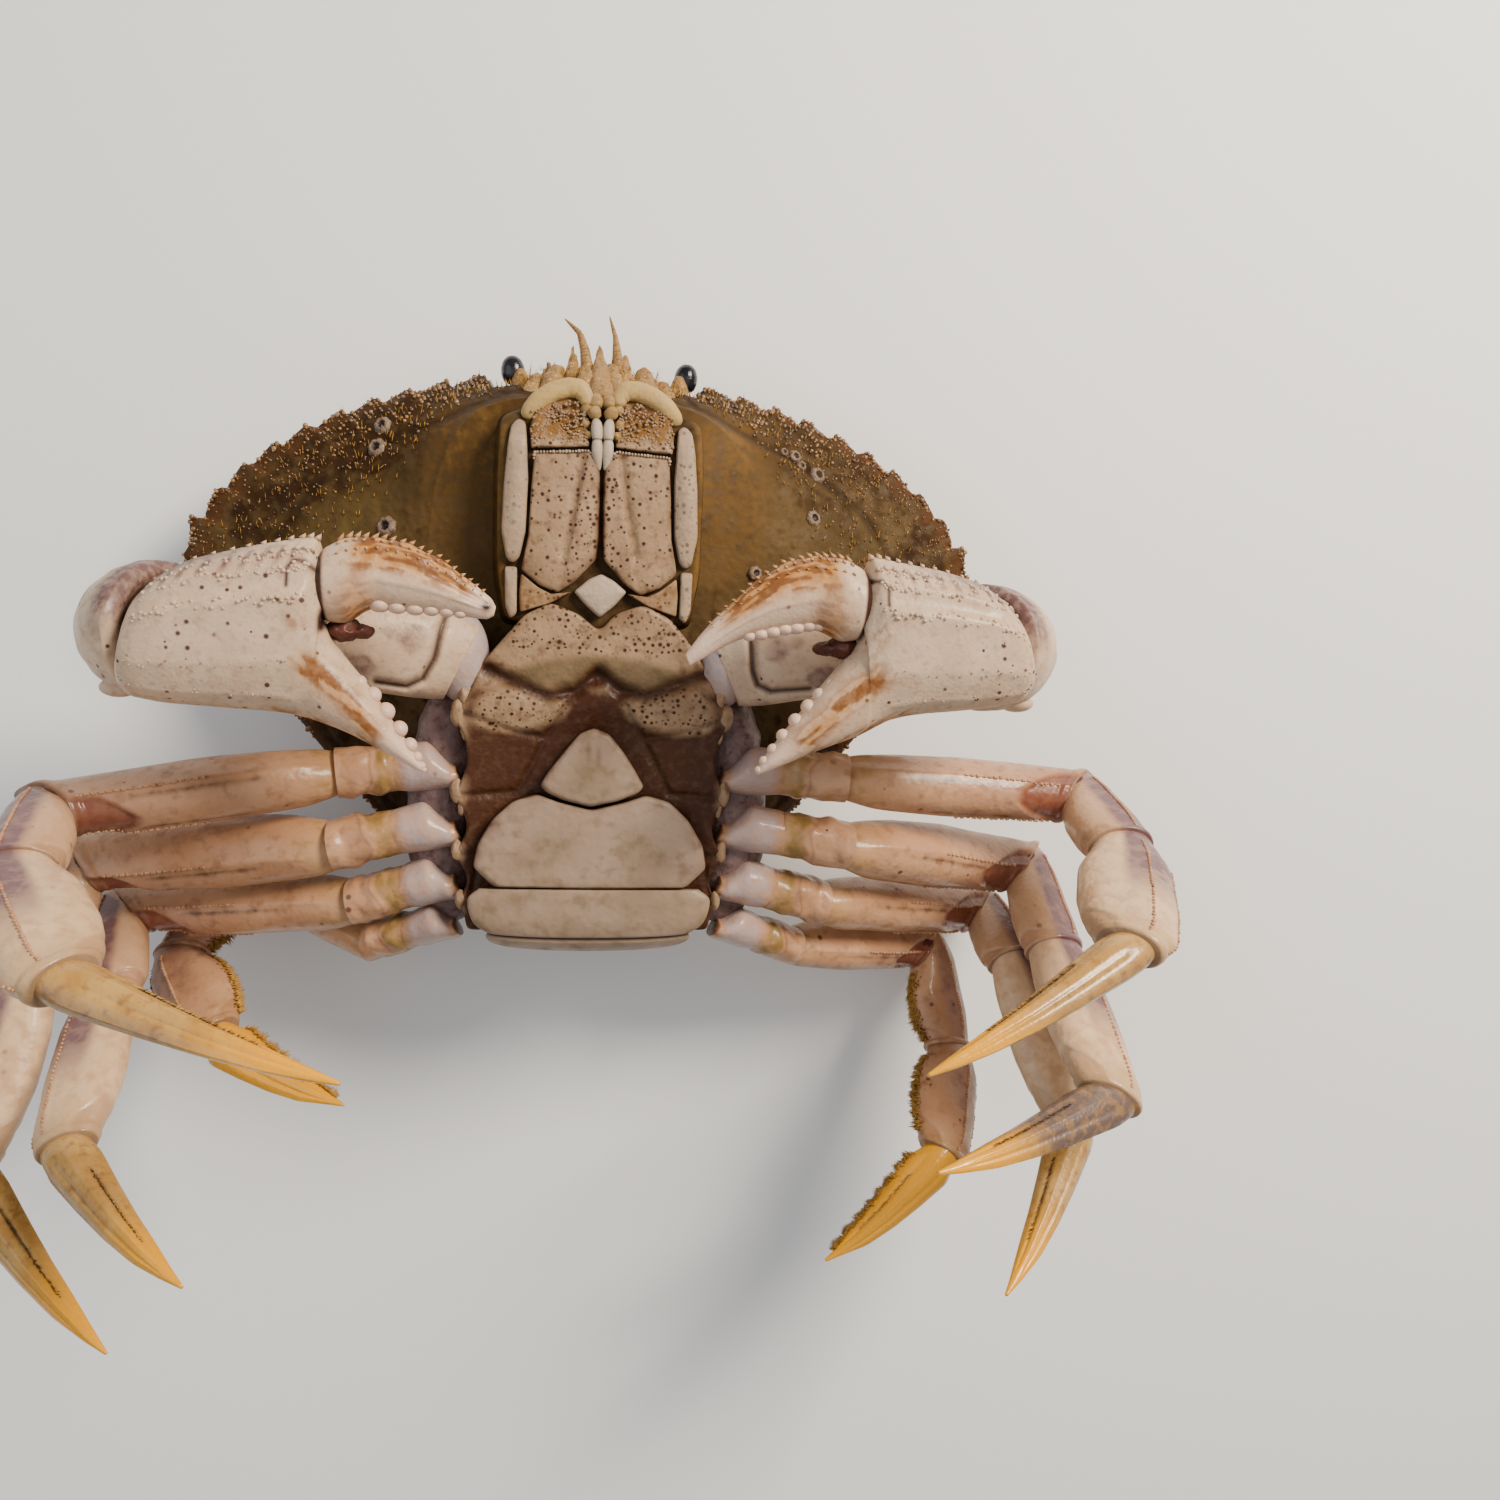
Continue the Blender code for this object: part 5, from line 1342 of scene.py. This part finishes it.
def makeSegment(leg, spec, i, part):  # one of the four outer segments, with the soft ball of its far joint
    number, joints, cuts = leg["number"], leg["joints"], leg["cuts"]
    isTip = part == "dactyl"
    rings, t, angle = limbRings(
        joints[i], joints[i + 1], cuts[i], cuts[i + 1], leg["hinge"], leg["forms"][part],
        spec["along"][part], spec["around"], 1.9 if isTip else 2.15,
        lambda t, angle: reliefs[part](t, angle, number),
    )
    ends = ease(0.03, 0.0, t) if isTip else np.maximum(ease(0.03, 0.0, t), ease(0.985, 1.0, t))
    dice = np.random.default_rng(number * 10 + i)
    if isTip:
        masks = tipMasks(leg, spec, t, angle)
        patches = tipHairs(leg, spec, rings, dice)
    else:
        masks = segmentMasks(leg, spec, part, rings, t, angle)
        patches = crestBeads(spec, part, rings, dice)
    if number == 4 and part != "merus":
        makeBristles(leg, spec, i, rings, dice)
    body = tube(rings, seam=ends * 0.55, **masks)
    look, slot = ("dactylGold", "dactyl_gold") if isTip else ("legCream", "leg_cream")
    makePiece(part + leg["tag"], [body, *patches], look, [leg["node"] % part])
    if not isTip:
        ball = spec["height"][number] * spec["ball"][part]
        soft = beads([joints[i + 1] - 0.5 * leg["aims"][i]], (ball, ball, ball), 22, 13)
        makePiece("joint%d%s" % (i, leg["tag"]), [soft], "joint", ())


def makeLegSkin(sideName, side, spec):  # soft skin between the bases of the legs, a crumpled rod
    skin = roundRod(onSide(spec["skin"], side, 0), 90, 40, 10)
    makePiece("legSkin_" + sideName, [crumple(skin, 3.0, 90, 0.5)], "legSkin", ())


for sideName in sides:
    for number in (1, 2, 3, 4):
        leg = layLeg(sideName, number, legs)
        makeLegBase(leg, legs)
        for i, part in enumerate(("merus", "carpus", "propodus", "dactyl"), 1):
            makeSegment(leg, legs, i, part)
for sideName, side in sides.items():
    makeLegSkin(sideName, side, legs)
print("legs made")

# Claws: each is carried between an upper and a lower edge, in millimetres to the outer side of the
# middle line. A row is upper x, upper y, lower x, lower y and half the thickness. A row of the arm is
# x, y, z, half the height, half the thickness and the slant in degrees; a tooth is x, y and its radius.
# A keel is its angle round the palm and its height
claws = {
    "height": (69.6, 71.8), "fingerHeight": (70.6, 72.0),
    "palm": {
        "right": [
            (75.4, 3.4, 76.4, -3.8, 4.4), (73.6, 7.4, 76.9, -6.8, 7.0), (70.2, 10.6, 75.0, -9.0, 8.2),
            (65.6, 13.2, 70.4, -9.9, 8.7), (58.8, 15.0, 63.4, -10.3, 8.9), (53.5, 16.2, 57.4, -10.6, 8.8),
            (48.8, 17.2, 52.8, -10.9, 8.5), (45.9, 17.5, 50.2, -11.2, 8.0),
            (45.0, 14.0, 48.4, -11.6, 7.2), (44.2, 9.0, 47.2, -11.9, 6.6), (45.0, 4.4, 46.4, -12.1, 6.2),
            (43.4, 0.6, 45.4, -12.4, 5.9), (40.8, -2.7, 44.0, -12.9, 5.5), (38.4, -5.5, 42.8, -13.3, 5.1),
            (36.3, -8.4, 40.6, -14.2, 4.6), (34.3, -11.4, 37.8, -15.6, 4.0),
            (32.2, -14.4, 35.0, -17.2, 3.3), (30.4, -16.9, 32.2, -18.7, 2.4),
            (28.9, -19.0, 29.8, -20.0, 1.3), (28.2, -19.8, 28.8, -20.4, 0.5),
        ],
        "left": [
            (73.0, 3.8, 73.8, -2.2, 4.4), (71.4, 8.0, 74.4, -4.4, 7.0), (68.4, 11.4, 72.6, -6.3, 8.2),
            (64.4, 14.0, 68.6, -7.3, 8.7), (58.4, 15.6, 62.4, -8.2, 8.9), (53.4, 16.4, 56.4, -8.7, 8.8),
            (48.6, 17.2, 52.0, -9.4, 8.5), (45.2, 17.8, 49.4, -10.1, 8.0), (43.9, 14.0, 47.4, -11.1, 7.2),
            (42.9, 9.2, 45.8, -12.0, 6.6), (44.1, 4.6, 44.8, -12.5, 6.2), (41.8, 0.9, 43.4, -13.1, 5.8),
            (39.2, -2.4, 41.4, -13.9, 5.4), (37.0, -5.0, 39.6, -14.5, 5.0),
            (35.0, -7.8, 37.6, -15.3, 4.5), (32.8, -10.4, 35.2, -16.3, 3.9),
            (30.6, -13.2, 32.8, -17.3, 3.2), (28.4, -16.2, 30.0, -18.5, 2.4),
            (26.9, -18.4, 27.9, -19.4, 1.3), (26.3, -19.3, 26.9, -19.8, 0.5),
        ],
    },
    "finger": {
        "right": [
            (47.0, 13.0, 46.4, 5.6, 4.6), (44.8, 15.8, 44.2, 3.8, 6.4), (41.8, 17.4, 41.2, 3.6, 6.3),
            (39.1, 17.7, 38.6, 5.6, 5.8), (36.2, 17.6, 36.2, 6.6, 5.1), (33.3, 17.2, 33.6, 6.2, 4.8),
            (30.2, 16.3, 31.0, 6.0, 4.4), (27.3, 15.0, 28.4, 5.9, 3.9), (24.6, 13.3, 25.8, 5.7, 3.4),
            (22.0, 11.4, 23.2, 5.5, 2.8), (19.8, 9.8, 20.8, 5.2, 2.1), (18.2, 8.5, 18.8, 5.1, 1.5),
            (17.5, 7.2, 17.8, 5.7, 0.7),
        ],
        "left": [
            (46.0, 12.8, 45.2, 5.2, 4.6), (43.7, 15.6, 42.9, 3.4, 6.4), (40.8, 17.0, 40.4, 3.0, 6.3),
            (37.9, 17.4, 37.8, 4.4, 5.8), (35.2, 17.4, 35.4, 5.2, 5.1), (32.2, 16.7, 32.6, 5.1, 4.8),
            (29.2, 15.5, 29.8, 4.7, 4.4), (26.2, 13.5, 27.2, 4.2, 3.9), (23.6, 11.1, 24.8, 3.7, 3.4),
            (20.8, 8.5, 22.0, 2.6, 2.9), (18.2, 5.9, 19.4, 1.2, 2.3), (15.8, 3.0, 16.8, -0.4, 1.6),
            (13.9, 0.3, 14.6, -1.6, 0.7),
        ],
    },
    "arm": [
        (24.0, -3.6, 41.6, 7.6, 5.6, 26), (30.0, -1.6, 44.0, 8.8, 6.6, 12),
        (38.0, -0.6, 46.4, 8.6, 6.4, 4), (46.0, 0.0, 47.8, 8.2, 6.3, 0), (54.0, -0.2, 49.0, 8.6, 6.5, 0),
        (62.0, -0.6, 49.8, 8.8, 6.6, 0), (70.0, -0.4, 51.0, 7.0, 5.6, 0),
    ],
    "armSeam": {
        "right": [(26.9, 4.8), (27.6, 2.6), (28.7, -2.7), (30.7, -6.4), (33.5, -7.8), (38.6, -7.0)],
        "left": [(27.9, 4.6), (28.2, 2.4), (28.8, -3.2), (29.9, -6.0), (32.5, -7.0), (39.3, -6.2)],
    },
    "wrist": {
        "centre": (73.0, 1.5, 60.0),
        "radii": (12.7, 11.4, 16.0),
        "cutPoint": (68.0, 0.0, 50.0),
        "cutLean": (20.0, 0.0, 8.5),
    },
    "wristShift": {"left": (-4.0, 1.0), "right": (0.0, 0.0)},
    "wristKnob": ((5.6, -9.6, 3.0), (3.2, 1.7, 3.0)), "hook": {"left": 46.6, "right": 49.4},
    "keels": ((0.62, 0.35), (0.9, 0.6), (1.28, 0.7), (1.95, 0.24), (2.45, 0.28)),
    "seam": {
        "right": [(47.0, 13.1), (45.0, 11.6), (44.0, 7.9), (44.9, 4.7), (44.9, 2.8)],
        "left": [(44.4, 13.4), (43.1, 12.0), (41.8, 8.7), (42.9, 5.9), (42.5, 3.1)],
    },
    "stain": {
        "right": (
            [(46.5, -3.2), (42.5, -6.0), (39.2, -10.2), (37.0, -13.4)],
            [(52.0, -11.0), (45.0, -12.6), (40.4, -14.8), (36.6, -16.6)],
        ),
        "left": (
            [(45.5, -3.0), (40.8, -6.4), (37.2, -10.6), (34.6, -13.2)],
            [(52.0, -8.8), (43.4, -12.6), (38.4, -15.2), (34.0, -16.8)],
        ),
    },
    "corner": {"right": (39.6, 7.0), "left": (37.8, 7.0)},
    "fixedTeeth": {
        "right": [
            (41.4, -3.2, 1.25), (38.8, -5.5, 1.2), (36.7, -7.6, 1.45), (34.6, -10.2, 1.55),
            (32.4, -13.0, 1.4), (30.7, -15.6, 1.25), (29.6, -17.6, 1.0), (28.8, -19.0, 0.75),
        ],
        "left": [
            (41.6, -0.2, 1.0), (40.2, -2.2, 1.0), (38.6, -4.0, 1.1), (36.7, -5.8, 1.3),
            (34.8, -7.8, 1.35), (32.7, -10.2, 1.3), (30.6, -12.8, 1.2), (29.0, -15.2, 1.05),
            (27.5, -17.2, 0.9), (26.6, -18.7, 0.7),
        ],
    },
    "movingTeeth": {
        "right": [
            (36.0, 7.0, 1.5), (33.2, 6.7, 1.35), (30.4, 6.5, 1.3), (27.8, 6.4, 1.2), (25.4, 6.2, 1.1),
            (23.2, 5.9, 0.9),
        ],
        "left": [
            (36.2, 5.9, 1.2), (34.4, 5.8, 1.3), (32.4, 5.4, 1.35), (30.4, 5.1, 1.3), (28.4, 4.6, 1.3),
            (26.4, 4.1, 1.2), (24.5, 3.7, 1.0),
        ],
    },
    "palmRows": 260, "palmAround": 128, "keelBeads": 60, "keelRows": (22, 96), "spines": 13,
    "spineRows": (24, 96), "spineColumns": ((2, 0.3), (12, 0.9)), "fixedToothZ": 71.9, "movingToothZ": 72.4,
    "fingerRows": 180, "fingerAround": 96, "thornRows": (26, 150),
    "thorns": ((0, 1.5, 0.7, 18), (7, 1.1, 0.5, 18), (13, 0.8, 0.4, 16)),
}


# A ring lies between the two edges: its middle is half way, c runs from the upper edge to the lower one
# and s through the thickness
def edgeRings(rows, count, softness, zRange, around, power, relief):
    path = spread(rows, count, softness)
    upper, lower, thick = path[:, 0:2], path[:, 2:4], path[:, 4]
    angle, c, s = oval(around, power)
    t = np.linspace(0, 1, count)[:, None]
    push = relief(t, angle[None])
    half = (upper - lower) / 2.0
    reach = np.linalg.norm(half, axis=1)[:, None]
    flat = ((upper + lower) / 2.0)[:, None] + (c * (1.0 + push / reach))[..., None] * half[:, None]
    z = zRange[0] + (zRange[1] - zRange[0]) * t + s * (thick[:, None] + push)
    return np.concatenate([flat, z[..., None]], -1), t, angle[None], path


# Plum along the upper edge, rust and brown in streaks beside the biting edge, dark in the seams
def palmMasks(sideName, spec, rings, t, angle):
    x, y = rings[..., 0], rings[..., 1]
    outer = ease(-0.2, 0.2, np.sin(angle))
    thumb = ease(0.55, 0.68, t)
    middleStain, lowerStain = spec["stain"][sideName]
    stain = bump(lineGap(x, y, middleStain), 0.0, 2.0) + bump(lineGap(x, y, lowerStain), 0.0, 1.0) * 0.8
    hingeX = spec["seam"][sideName][0][0]
    hingeStain = bump(np.hypot(x - hingeX - 1.6, y - 4.6), 0.0, 1.8) * 0.7
    place = np.stack([(x * 0.66 + y * 0.75) * 0.4, (x * 0.75 - y * 0.66) * 1.5, rings[..., 2] * 1.2], -1)
    streak = ease(-0.08, 0.1, wobble(place, 1.15, 75))  # long along the fixed finger, narrow across it
    h = spec["hook"][sideName]
    hookLine = [(h + 0.4, 9.6), (h + 0.4, 12.2), (h - 0.6, 13.6), (h - 2.2, 13.4)]
    hook = bump(lineGap(x, y, hookLine), 0.0, 0.35) * outer
    hinge = bump(lineGap(x, y, spec["seam"][sideName]), 0.0, 0.45) * outer
    stripe = ease(0.1, 0.6, np.sin(t * 230.0 + angle * 5.0))
    band = turnTo(angle, 0.62, 0.2) * ease(0.38, 0.3, t) * ease(0.08, 0.12, t) * stripe * 0.6
    edge = turnTo(angle, 0.1, 0.42) * ease(0.34, 0.1, t) + band
    return {
        "plum": np.clip(edge * 1.2, 0, 1), "ochre": np.clip(stain * 0.75, 0, 1) * outer,
        "stain": np.clip(stain * 1.3 + hingeStain, 0, 1) * outer * streak * 0.9,
        "tip": np.clip(ease(0.8, 0.95, t) + 0.3 * thumb * (1 - np.clip(stain, 0, 1)), 0, 1),
        "dots": (0.5 + 0.5 * turnTo(angle, 2.2, 0.7)) * (1 - thumb),
        "seam": np.clip(hook + hinge + bump(t, 0.0, 0.012) * 0.7, 0, 1),
    }


# The palm with its fixed finger: keels, two hollows and fine grain, and on them granules, spines and teeth
def makePalm(sideName, spec, mirror):
    def relief(t, angle):
        keels = sum(ridgeAt(angle, a, 0.09) * h for a, h in spec["keels"])
        grain = wobble(roundPlace(t, angle, 60.0, 14.0, 9.0), 2.2, 71) * 0.12
        hollow = turnTo(angle, 1.08, 0.14) * 0.35 + turnTo(angle, 1.6, 0.2) * 0.2
        return (keels * ease(0.06, 0.14, t) * ease(0.44, 0.34, t)
                - hollow * ease(0.1, 0.2, t) * ease(0.4, 0.3, t) + grain * ease(0.5, 0.2, t))

    around, count = spec["palmAround"], spec["keelBeads"]
    rows = spec["palm"][sideName]
    rings, t, angle, _ = edgeRings(rows, spec["palmRows"], 12, spec["height"], around, 2.2, relief)
    patches = [tube(mirror(rings), **palmMasks(sideName, spec, rings, t, angle))]
    dice = np.random.default_rng(72)
    for a, strength in spec["keels"]:  # granules, larger on the high keels, some plum on the low ones
        row = np.linspace(*spec["keelRows"], count).astype(int)
        column = columnAt(a, around) + dice.integers(-1, 2, count)
        seat = rings[row, column] * 0.985 + rings[row].mean(1) * 0.015 + dice.normal(0, 0.14, (count, 3))
        size = dice.uniform(0.2, 0.4, count) * (0.55 + 0.5 * (strength > 0.3))
        plum = 0.7 * (dice.uniform(size=count) > 0.5) * (strength < 0.3)
        patches.append(beads(mirror(seat), size, 8, 5, tip=0.15, plum=plum))
    count = spec["spines"]  # along the upper edge, tallest beside the hinge
    row = np.linspace(*spec["spineRows"], count).astype(int)
    size = np.linspace(0.5, 1.5, count) * 0.8
    for column, lean in spec["spineColumns"]:
        root = rings[row, column]
        way = np.column_stack([np.full(count, -0.8), np.full(count, 1.0), np.full(count, lean)])
        patches.append(spikes(mirror(root), mirror(root + way) - mirror(root), size, 0.3 + 0.42 * size))
    seat = np.array(spec["fixedTeeth"][sideName])  # rounded teeth on the biting edge
    place = np.column_stack([seat[:, :2] + (0.35, -0.25), np.full(len(seat), spec["fixedToothZ"])])
    patches.append(beads(mirror(place), seat[:, 2:] * (1.0, 1.0, 1.3), 20, 12, tip=0.8))
    makePiece("palm_" + sideName, patches, "clawWhite", ["claw_palm_" + sideName])


# Rust over the top in streaks, a band down the side, a dark corner at the hinge and a pale tip
def fingerMasks(sideName, spec, rings, t, angle):
    x, y = rings[..., 0], rings[..., 1]
    fromTop = abs(gapTo(angle, 0.0))
    ochre = ease(1.85, 1.05, fromTop) * ease(0.17, 0.26, t) * ease(0.9, 0.68, t)
    band = turnTo(angle, 1.3, 0.12) * ease(0.2, 0.3, t) * ease(0.66, 0.5, t) * 0.8
    cx, cy = spec["corner"][sideName]
    corner = bump(np.hypot(x - cx, (y - cy) * 0.8), 0.0, 2.6) * (np.sin(angle) > -0.2) * 1.3
    place = np.stack(np.broadcast_arrays(t * 13.0, fromTop * 8.5, np.sin(angle)), -1)
    streak = ease(-0.12, 0.08, wobble(place, 1.15, 76))
    spot = bump(np.hypot(x - 19.0, y - 7.2), 0.0, 0.85) * (np.sin(angle) > 0) * (sideName == "right")
    return {
        "ochre": np.clip(ochre + corner, 0, 1), "stain": np.clip(ochre + band + corner, 0, 1) * streak,
        "tip": np.clip(ease(0.72, 0.95, t) + 0.3 * turnTo(angle, 2.0, 0.5), 0, 1),
        "dots": 0.5, "seam": np.clip(spot * 1.2 + ease(0.09, 0.07, t), 0, 1),
    }


# The moving finger: two low ridges with a hollow between them, lumps on its top, thorns and teeth
def makeFinger(sideName, spec, mirror):
    def relief(t, angle):
        lines = (ridgeAt(angle, 0.7, 0.08) + ridgeAt(angle, 1.75, 0.08)) * 0.35
        lines = lines - turnTo(angle, 1.2, 0.2) * 0.4
        grain = wobble(roundPlace(t, angle, 30.0, 8.0, 6.0), 1.3, 73) * 0.4
        return (lines * ease(0.15, 0.3, t) * ease(0.95, 0.75, t)
                + grain * turnTo(angle, 0.4, 0.7) * ease(0.15, 0.25, t) * ease(0.9, 0.7, t))

    rows = spec["finger"][sideName]
    zRange, count = spec["fingerHeight"], spec["fingerRows"]
    rings, t, angle, path = edgeRings(rows, count, 10, zRange, spec["fingerAround"], 2.1, relief)
    patches = [tube(mirror(rings), **fingerMasks(sideName, spec, rings, t, angle))]
    seat = np.array(spec["movingTeeth"][sideName])
    place = np.column_stack([seat[:, :2], np.full(len(seat), spec["movingToothZ"])])
    radii = seat[:, 2:] * (1.2, 0.9, 1.4)
    patches.append(beads(mirror(place), radii, 18, 11, tip=0.7))
    z = np.linspace(*zRange, count)
    for column, low, high, steps in spec["thorns"]:  # rows that point to the tip
        row = np.linspace(*spec["thornRows"], steps).astype(int)
        root = rings[row, column]
        ahead = unit(np.gradient(path[:, 0:2], axis=0)[row])
        out = unit(root - np.column_stack([(path[row, 0:2] + path[row, 2:4]) / 2, z[row]]))
        way = out + np.column_stack([ahead * 0.9, np.zeros(steps)])
        way = mirror(root + way) - mirror(root)
        length = np.linspace(low, high, steps)
        patches.append(spikes(mirror(root), way, length, 0.5 * length, ochre=0.7))
    makePiece("finger_" + sideName, patches, "clawWhite", ["claw_finger_" + sideName])
    hingeX, hingeY = rows[2][2:4]
    seat = np.array([[hingeX + 0.8, hingeY - 1.0, 68.6], [hingeX - 1.6, hingeY - 1.2, 67.6]])
    skin = beads(mirror(seat), np.array([[3.0, 1.9, 4.4], [2.4, 1.3, 4.0]]), 32, 20)
    makePiece("hingeSkin_" + sideName, [crumple(skin, 1.2, 77, 0.4)], "joint", ())


# The bowl is an ellipsoid from its outer pole to the slanting cut, where p cos f + q sin f = r. The lip
# rises and turns in to seven tenths of the cut's size, and the floor sinks below it
def makeWrist(sideName, spec, mirror):
    w = spec["wrist"]
    shift = spec["wristShift"][sideName]
    centre = np.array(w["centre"]) + (*shift, 0.0)
    rx, ry, rz = w["radii"]
    lean = unit(np.array(w["cutLean"]) * (-1, 1, 1))
    a = np.arange(120) * fullTurn / 120
    p, q = lean[0] * rx, lean[1] * ry * np.cos(a) + lean[2] * rz * np.sin(a)
    r = lean @ (np.array(w["cutPoint"]) + (shift[0], 0, 0) - centre)
    last = np.arctan2(q, p) % fullTurn - np.arccos(r / np.hypot(p, q))

    def bowl(share):
        f = share * last
        x, y, z = rx * np.cos(f), ry * np.sin(f) * np.cos(a), rz * np.sin(f) * np.sin(a)
        return centre + np.stack([x, y, z], -1)

    out = np.linspace(0.02, 1.0, 70)
    roll = np.linspace(0.0, 1.0, 16)[1:]
    deep = np.linspace(1.0, 0.04, 26)[1:]
    rim = bowl(1.0)
    mid = rim.mean(0)
    outside = [bowl(share) for share in out]
    lip = [
        mid + (rim - mid) * (1.0 - 0.32 * r) + lean * 1.5 * np.sin(np.pi * r) * (1.0 - 0.3 * r) for r in roll
    ]
    inside = [mid + (rim - mid) * 0.68 * r - lean * 2.2 * (1.0 - r ** 3) for r in deep]
    rings = np.array(outside + lip + inside)
    rings[:84] += (wobble(rings[:84], 2.0, 74) * 0.25)[..., None] * unit(rings[:84] - centre)
    share = np.concatenate([out, 1.0 + roll, np.linspace(2.0, 3.0, 26)[1:]])[:, None]
    upper = ease(-0.3, 0.6, np.cos(a))[None]
    masks = {
        "plum": upper * ease(0.66, 0.9, share) * ease(2.0, 1.6, share) * 0.9, "dots": 0.6,
        # the seam colour on the floor, rising toward its middle, is painted shade in the hollow; flesh is
        # the joint skin's own brown
        "flesh": ease(1.75, 1.95, share), "seam": ease(2.0, 2.6, share) * 0.5,
    }
    offset, radii = spec["wristKnob"]
    knob = centre + offset
    patches = [tube(mirror(rings), **masks), beads(mirror(knob[None]), radii, 20, 12)]
    makePiece("wrist_" + sideName, patches, "clawWhite", ["claw_wrist_" + sideName])


# The arm is an upright oval carried along its path, turned by the slant, with a seam sunk in its face
def makeArm(sideName, spec, mirror):
    path = spread(spec["arm"], 150, 20)
    x, y, z, high, thick, slant = (path[:, k, None] for k in range(6))
    share = np.clip((x - 26.0) / 38.0, 0.0, 1.0)
    dx, dy = spec["wristShift"][sideName]
    angle, c, s = oval(96, 2.4)
    a = np.radians(90.0 - slant)
    flatX = x + dx * share - np.cos(a) * c * high
    flatY = y + dy * share + np.sin(a) * c * high
    rings = np.stack([flatX, flatY, z + s * thick], -1)
    gap = lineGap(rings[..., 0], rings[..., 1], spec["armSeam"][sideName])
    face = (s > 0.0)
    rings[..., 2] -= bump(gap, 0.0, 0.75) * 1.2 * face
    blotch = ease(0.1, 0.4, wobble(rings, 3.0, 75)) * ease(28.0, 34.0, rings[..., 0]) * 0.6
    masks = {"seam": np.clip(bump(gap, 0.0, 0.55) * face, 0, 1), "dots": 0.4, "plum": blotch * face}
    patch = tube(mirror(rings), **masks)
    makePiece("arm_" + sideName, [patch], "clawWhite", ["claw_arm_" + sideName])
    bulb = beads(mirror(np.array([[24.2, -2.6, 41.2]])), (5.0, 8.4, 6.0), 48, 30, blue=0.85)
    makePiece("armCoxa_" + sideName, [bulb], "legCream", ())


for sideName, side in sides.items():
    def mirror(p, side=side):  # x turned to this side of the crab
        return p * (side, 1.0, 1.0)

    for build in (makePalm, makeFinger, makeWrist, makeArm):
        build(sideName, claws, mirror)
print("claws made")

# Camera, floor and light
view = {"place": (-12.0, 11.0, 322.0), "yaw": -8.5, "pitch": -6.0, "roll": 2.0, "lens": 36.0, "sensor": 36.0}


def makeCamera(spec):  # it looks down and is turned about the upright, the level and its own axis in turn
    camera = bpy.data.objects.new("camera", bpy.data.cameras.new("camera"))
    bpy.context.scene.collection.objects.link(camera)
    camera.data.lens = spec["lens"]
    camera.data.sensor_width = spec["sensor"]
    camera.data.clip_start = 0.01
    turn = Matrix.Rotation(np.radians(spec["yaw"]), 4, "Y")
    turn = turn @ Matrix.Rotation(np.radians(spec["pitch"]), 4, "X")
    turn = turn @ Matrix.Rotation(np.radians(spec["roll"]), 4, "Z")
    camera.matrix_world = Matrix.Translation(Vector(spec["place"]) * mm) @ turn
    bpy.context.scene.camera = camera


floorLook = {"half": 1.6, "colour": (0.86, 0.86, 0.85), "roughness": 0.7}  # half its width is in metres


def makeFloor(spec):  # a level square of four faces at height nought
    size = np.linspace(-spec["half"], spec["half"], 3)
    x, y = np.meshgrid(size, size)
    mesh = bpy.data.meshes.new("floor")
    corners = [(0, 1, 4, 3), (1, 2, 5, 4), (3, 4, 7, 6), (4, 5, 8, 7)]
    mesh.from_pydata(np.stack([x, y, 0 * x], -1).reshape(-1, 3).tolist(), [], corners)
    floor = bpy.data.objects.new("floor", mesh)
    bpy.context.scene.collection.objects.link(floor)
    look = bpy.data.materials.new("floorPale")
    look.use_nodes = True
    shader = look.node_tree.nodes["Principled BSDF"]
    shader.inputs["Base Color"].default_value = rgb(*spec["colour"])
    shader.inputs["Roughness"].default_value = spec["roughness"]
    mesh.materials.append(look)


# Each lamp's name, place and size in metres, watts and colour
studio = {
    "lamps": [
        ("key", (0.42, 0.4, 0.5), 0.3, 10.5, (1.0, 0.9, 0.76)),
        ("fill", (-0.6, 0.1, 0.55), 0.8, 2.2, (0.84, 0.92, 1.0)),
        ("overhead", (0.0, -0.15, 1.0), 1.2, 2.2, (1.0, 0.98, 0.95)),
    ],
    "target": (0, -0.02, 0.04), "sky": (0.95, 0.97, 1.0), "skyStrength": 0.26,
}


def makeLights(spec):  # round soft lamps turned to the crab, and an even sky
    for name, spot, size, watts, colour in spec["lamps"]:
        lamp = bpy.data.lights.new(name, "AREA")
        lamp.shape = "DISK"
        lamp.size = size
        lamp.energy = watts
        lamp.color = colour
        piece = bpy.data.objects.new(name, lamp)
        bpy.context.scene.collection.objects.link(piece)
        piece.location = spot
        piece.rotation_euler = (Vector(spec["target"]) - Vector(spot)).to_track_quat("-Z", "Y").to_euler()
    world = bpy.data.worlds.new("studio")
    bpy.context.scene.world = world
    world.use_nodes = True
    world.node_tree.nodes["Background"].inputs[0].default_value = rgb(*spec["sky"])
    world.node_tree.nodes["Background"].inputs[1].default_value = spec["skyStrength"]


makeCamera(view)
makeFloor(floorLook)
makeLights(studio)
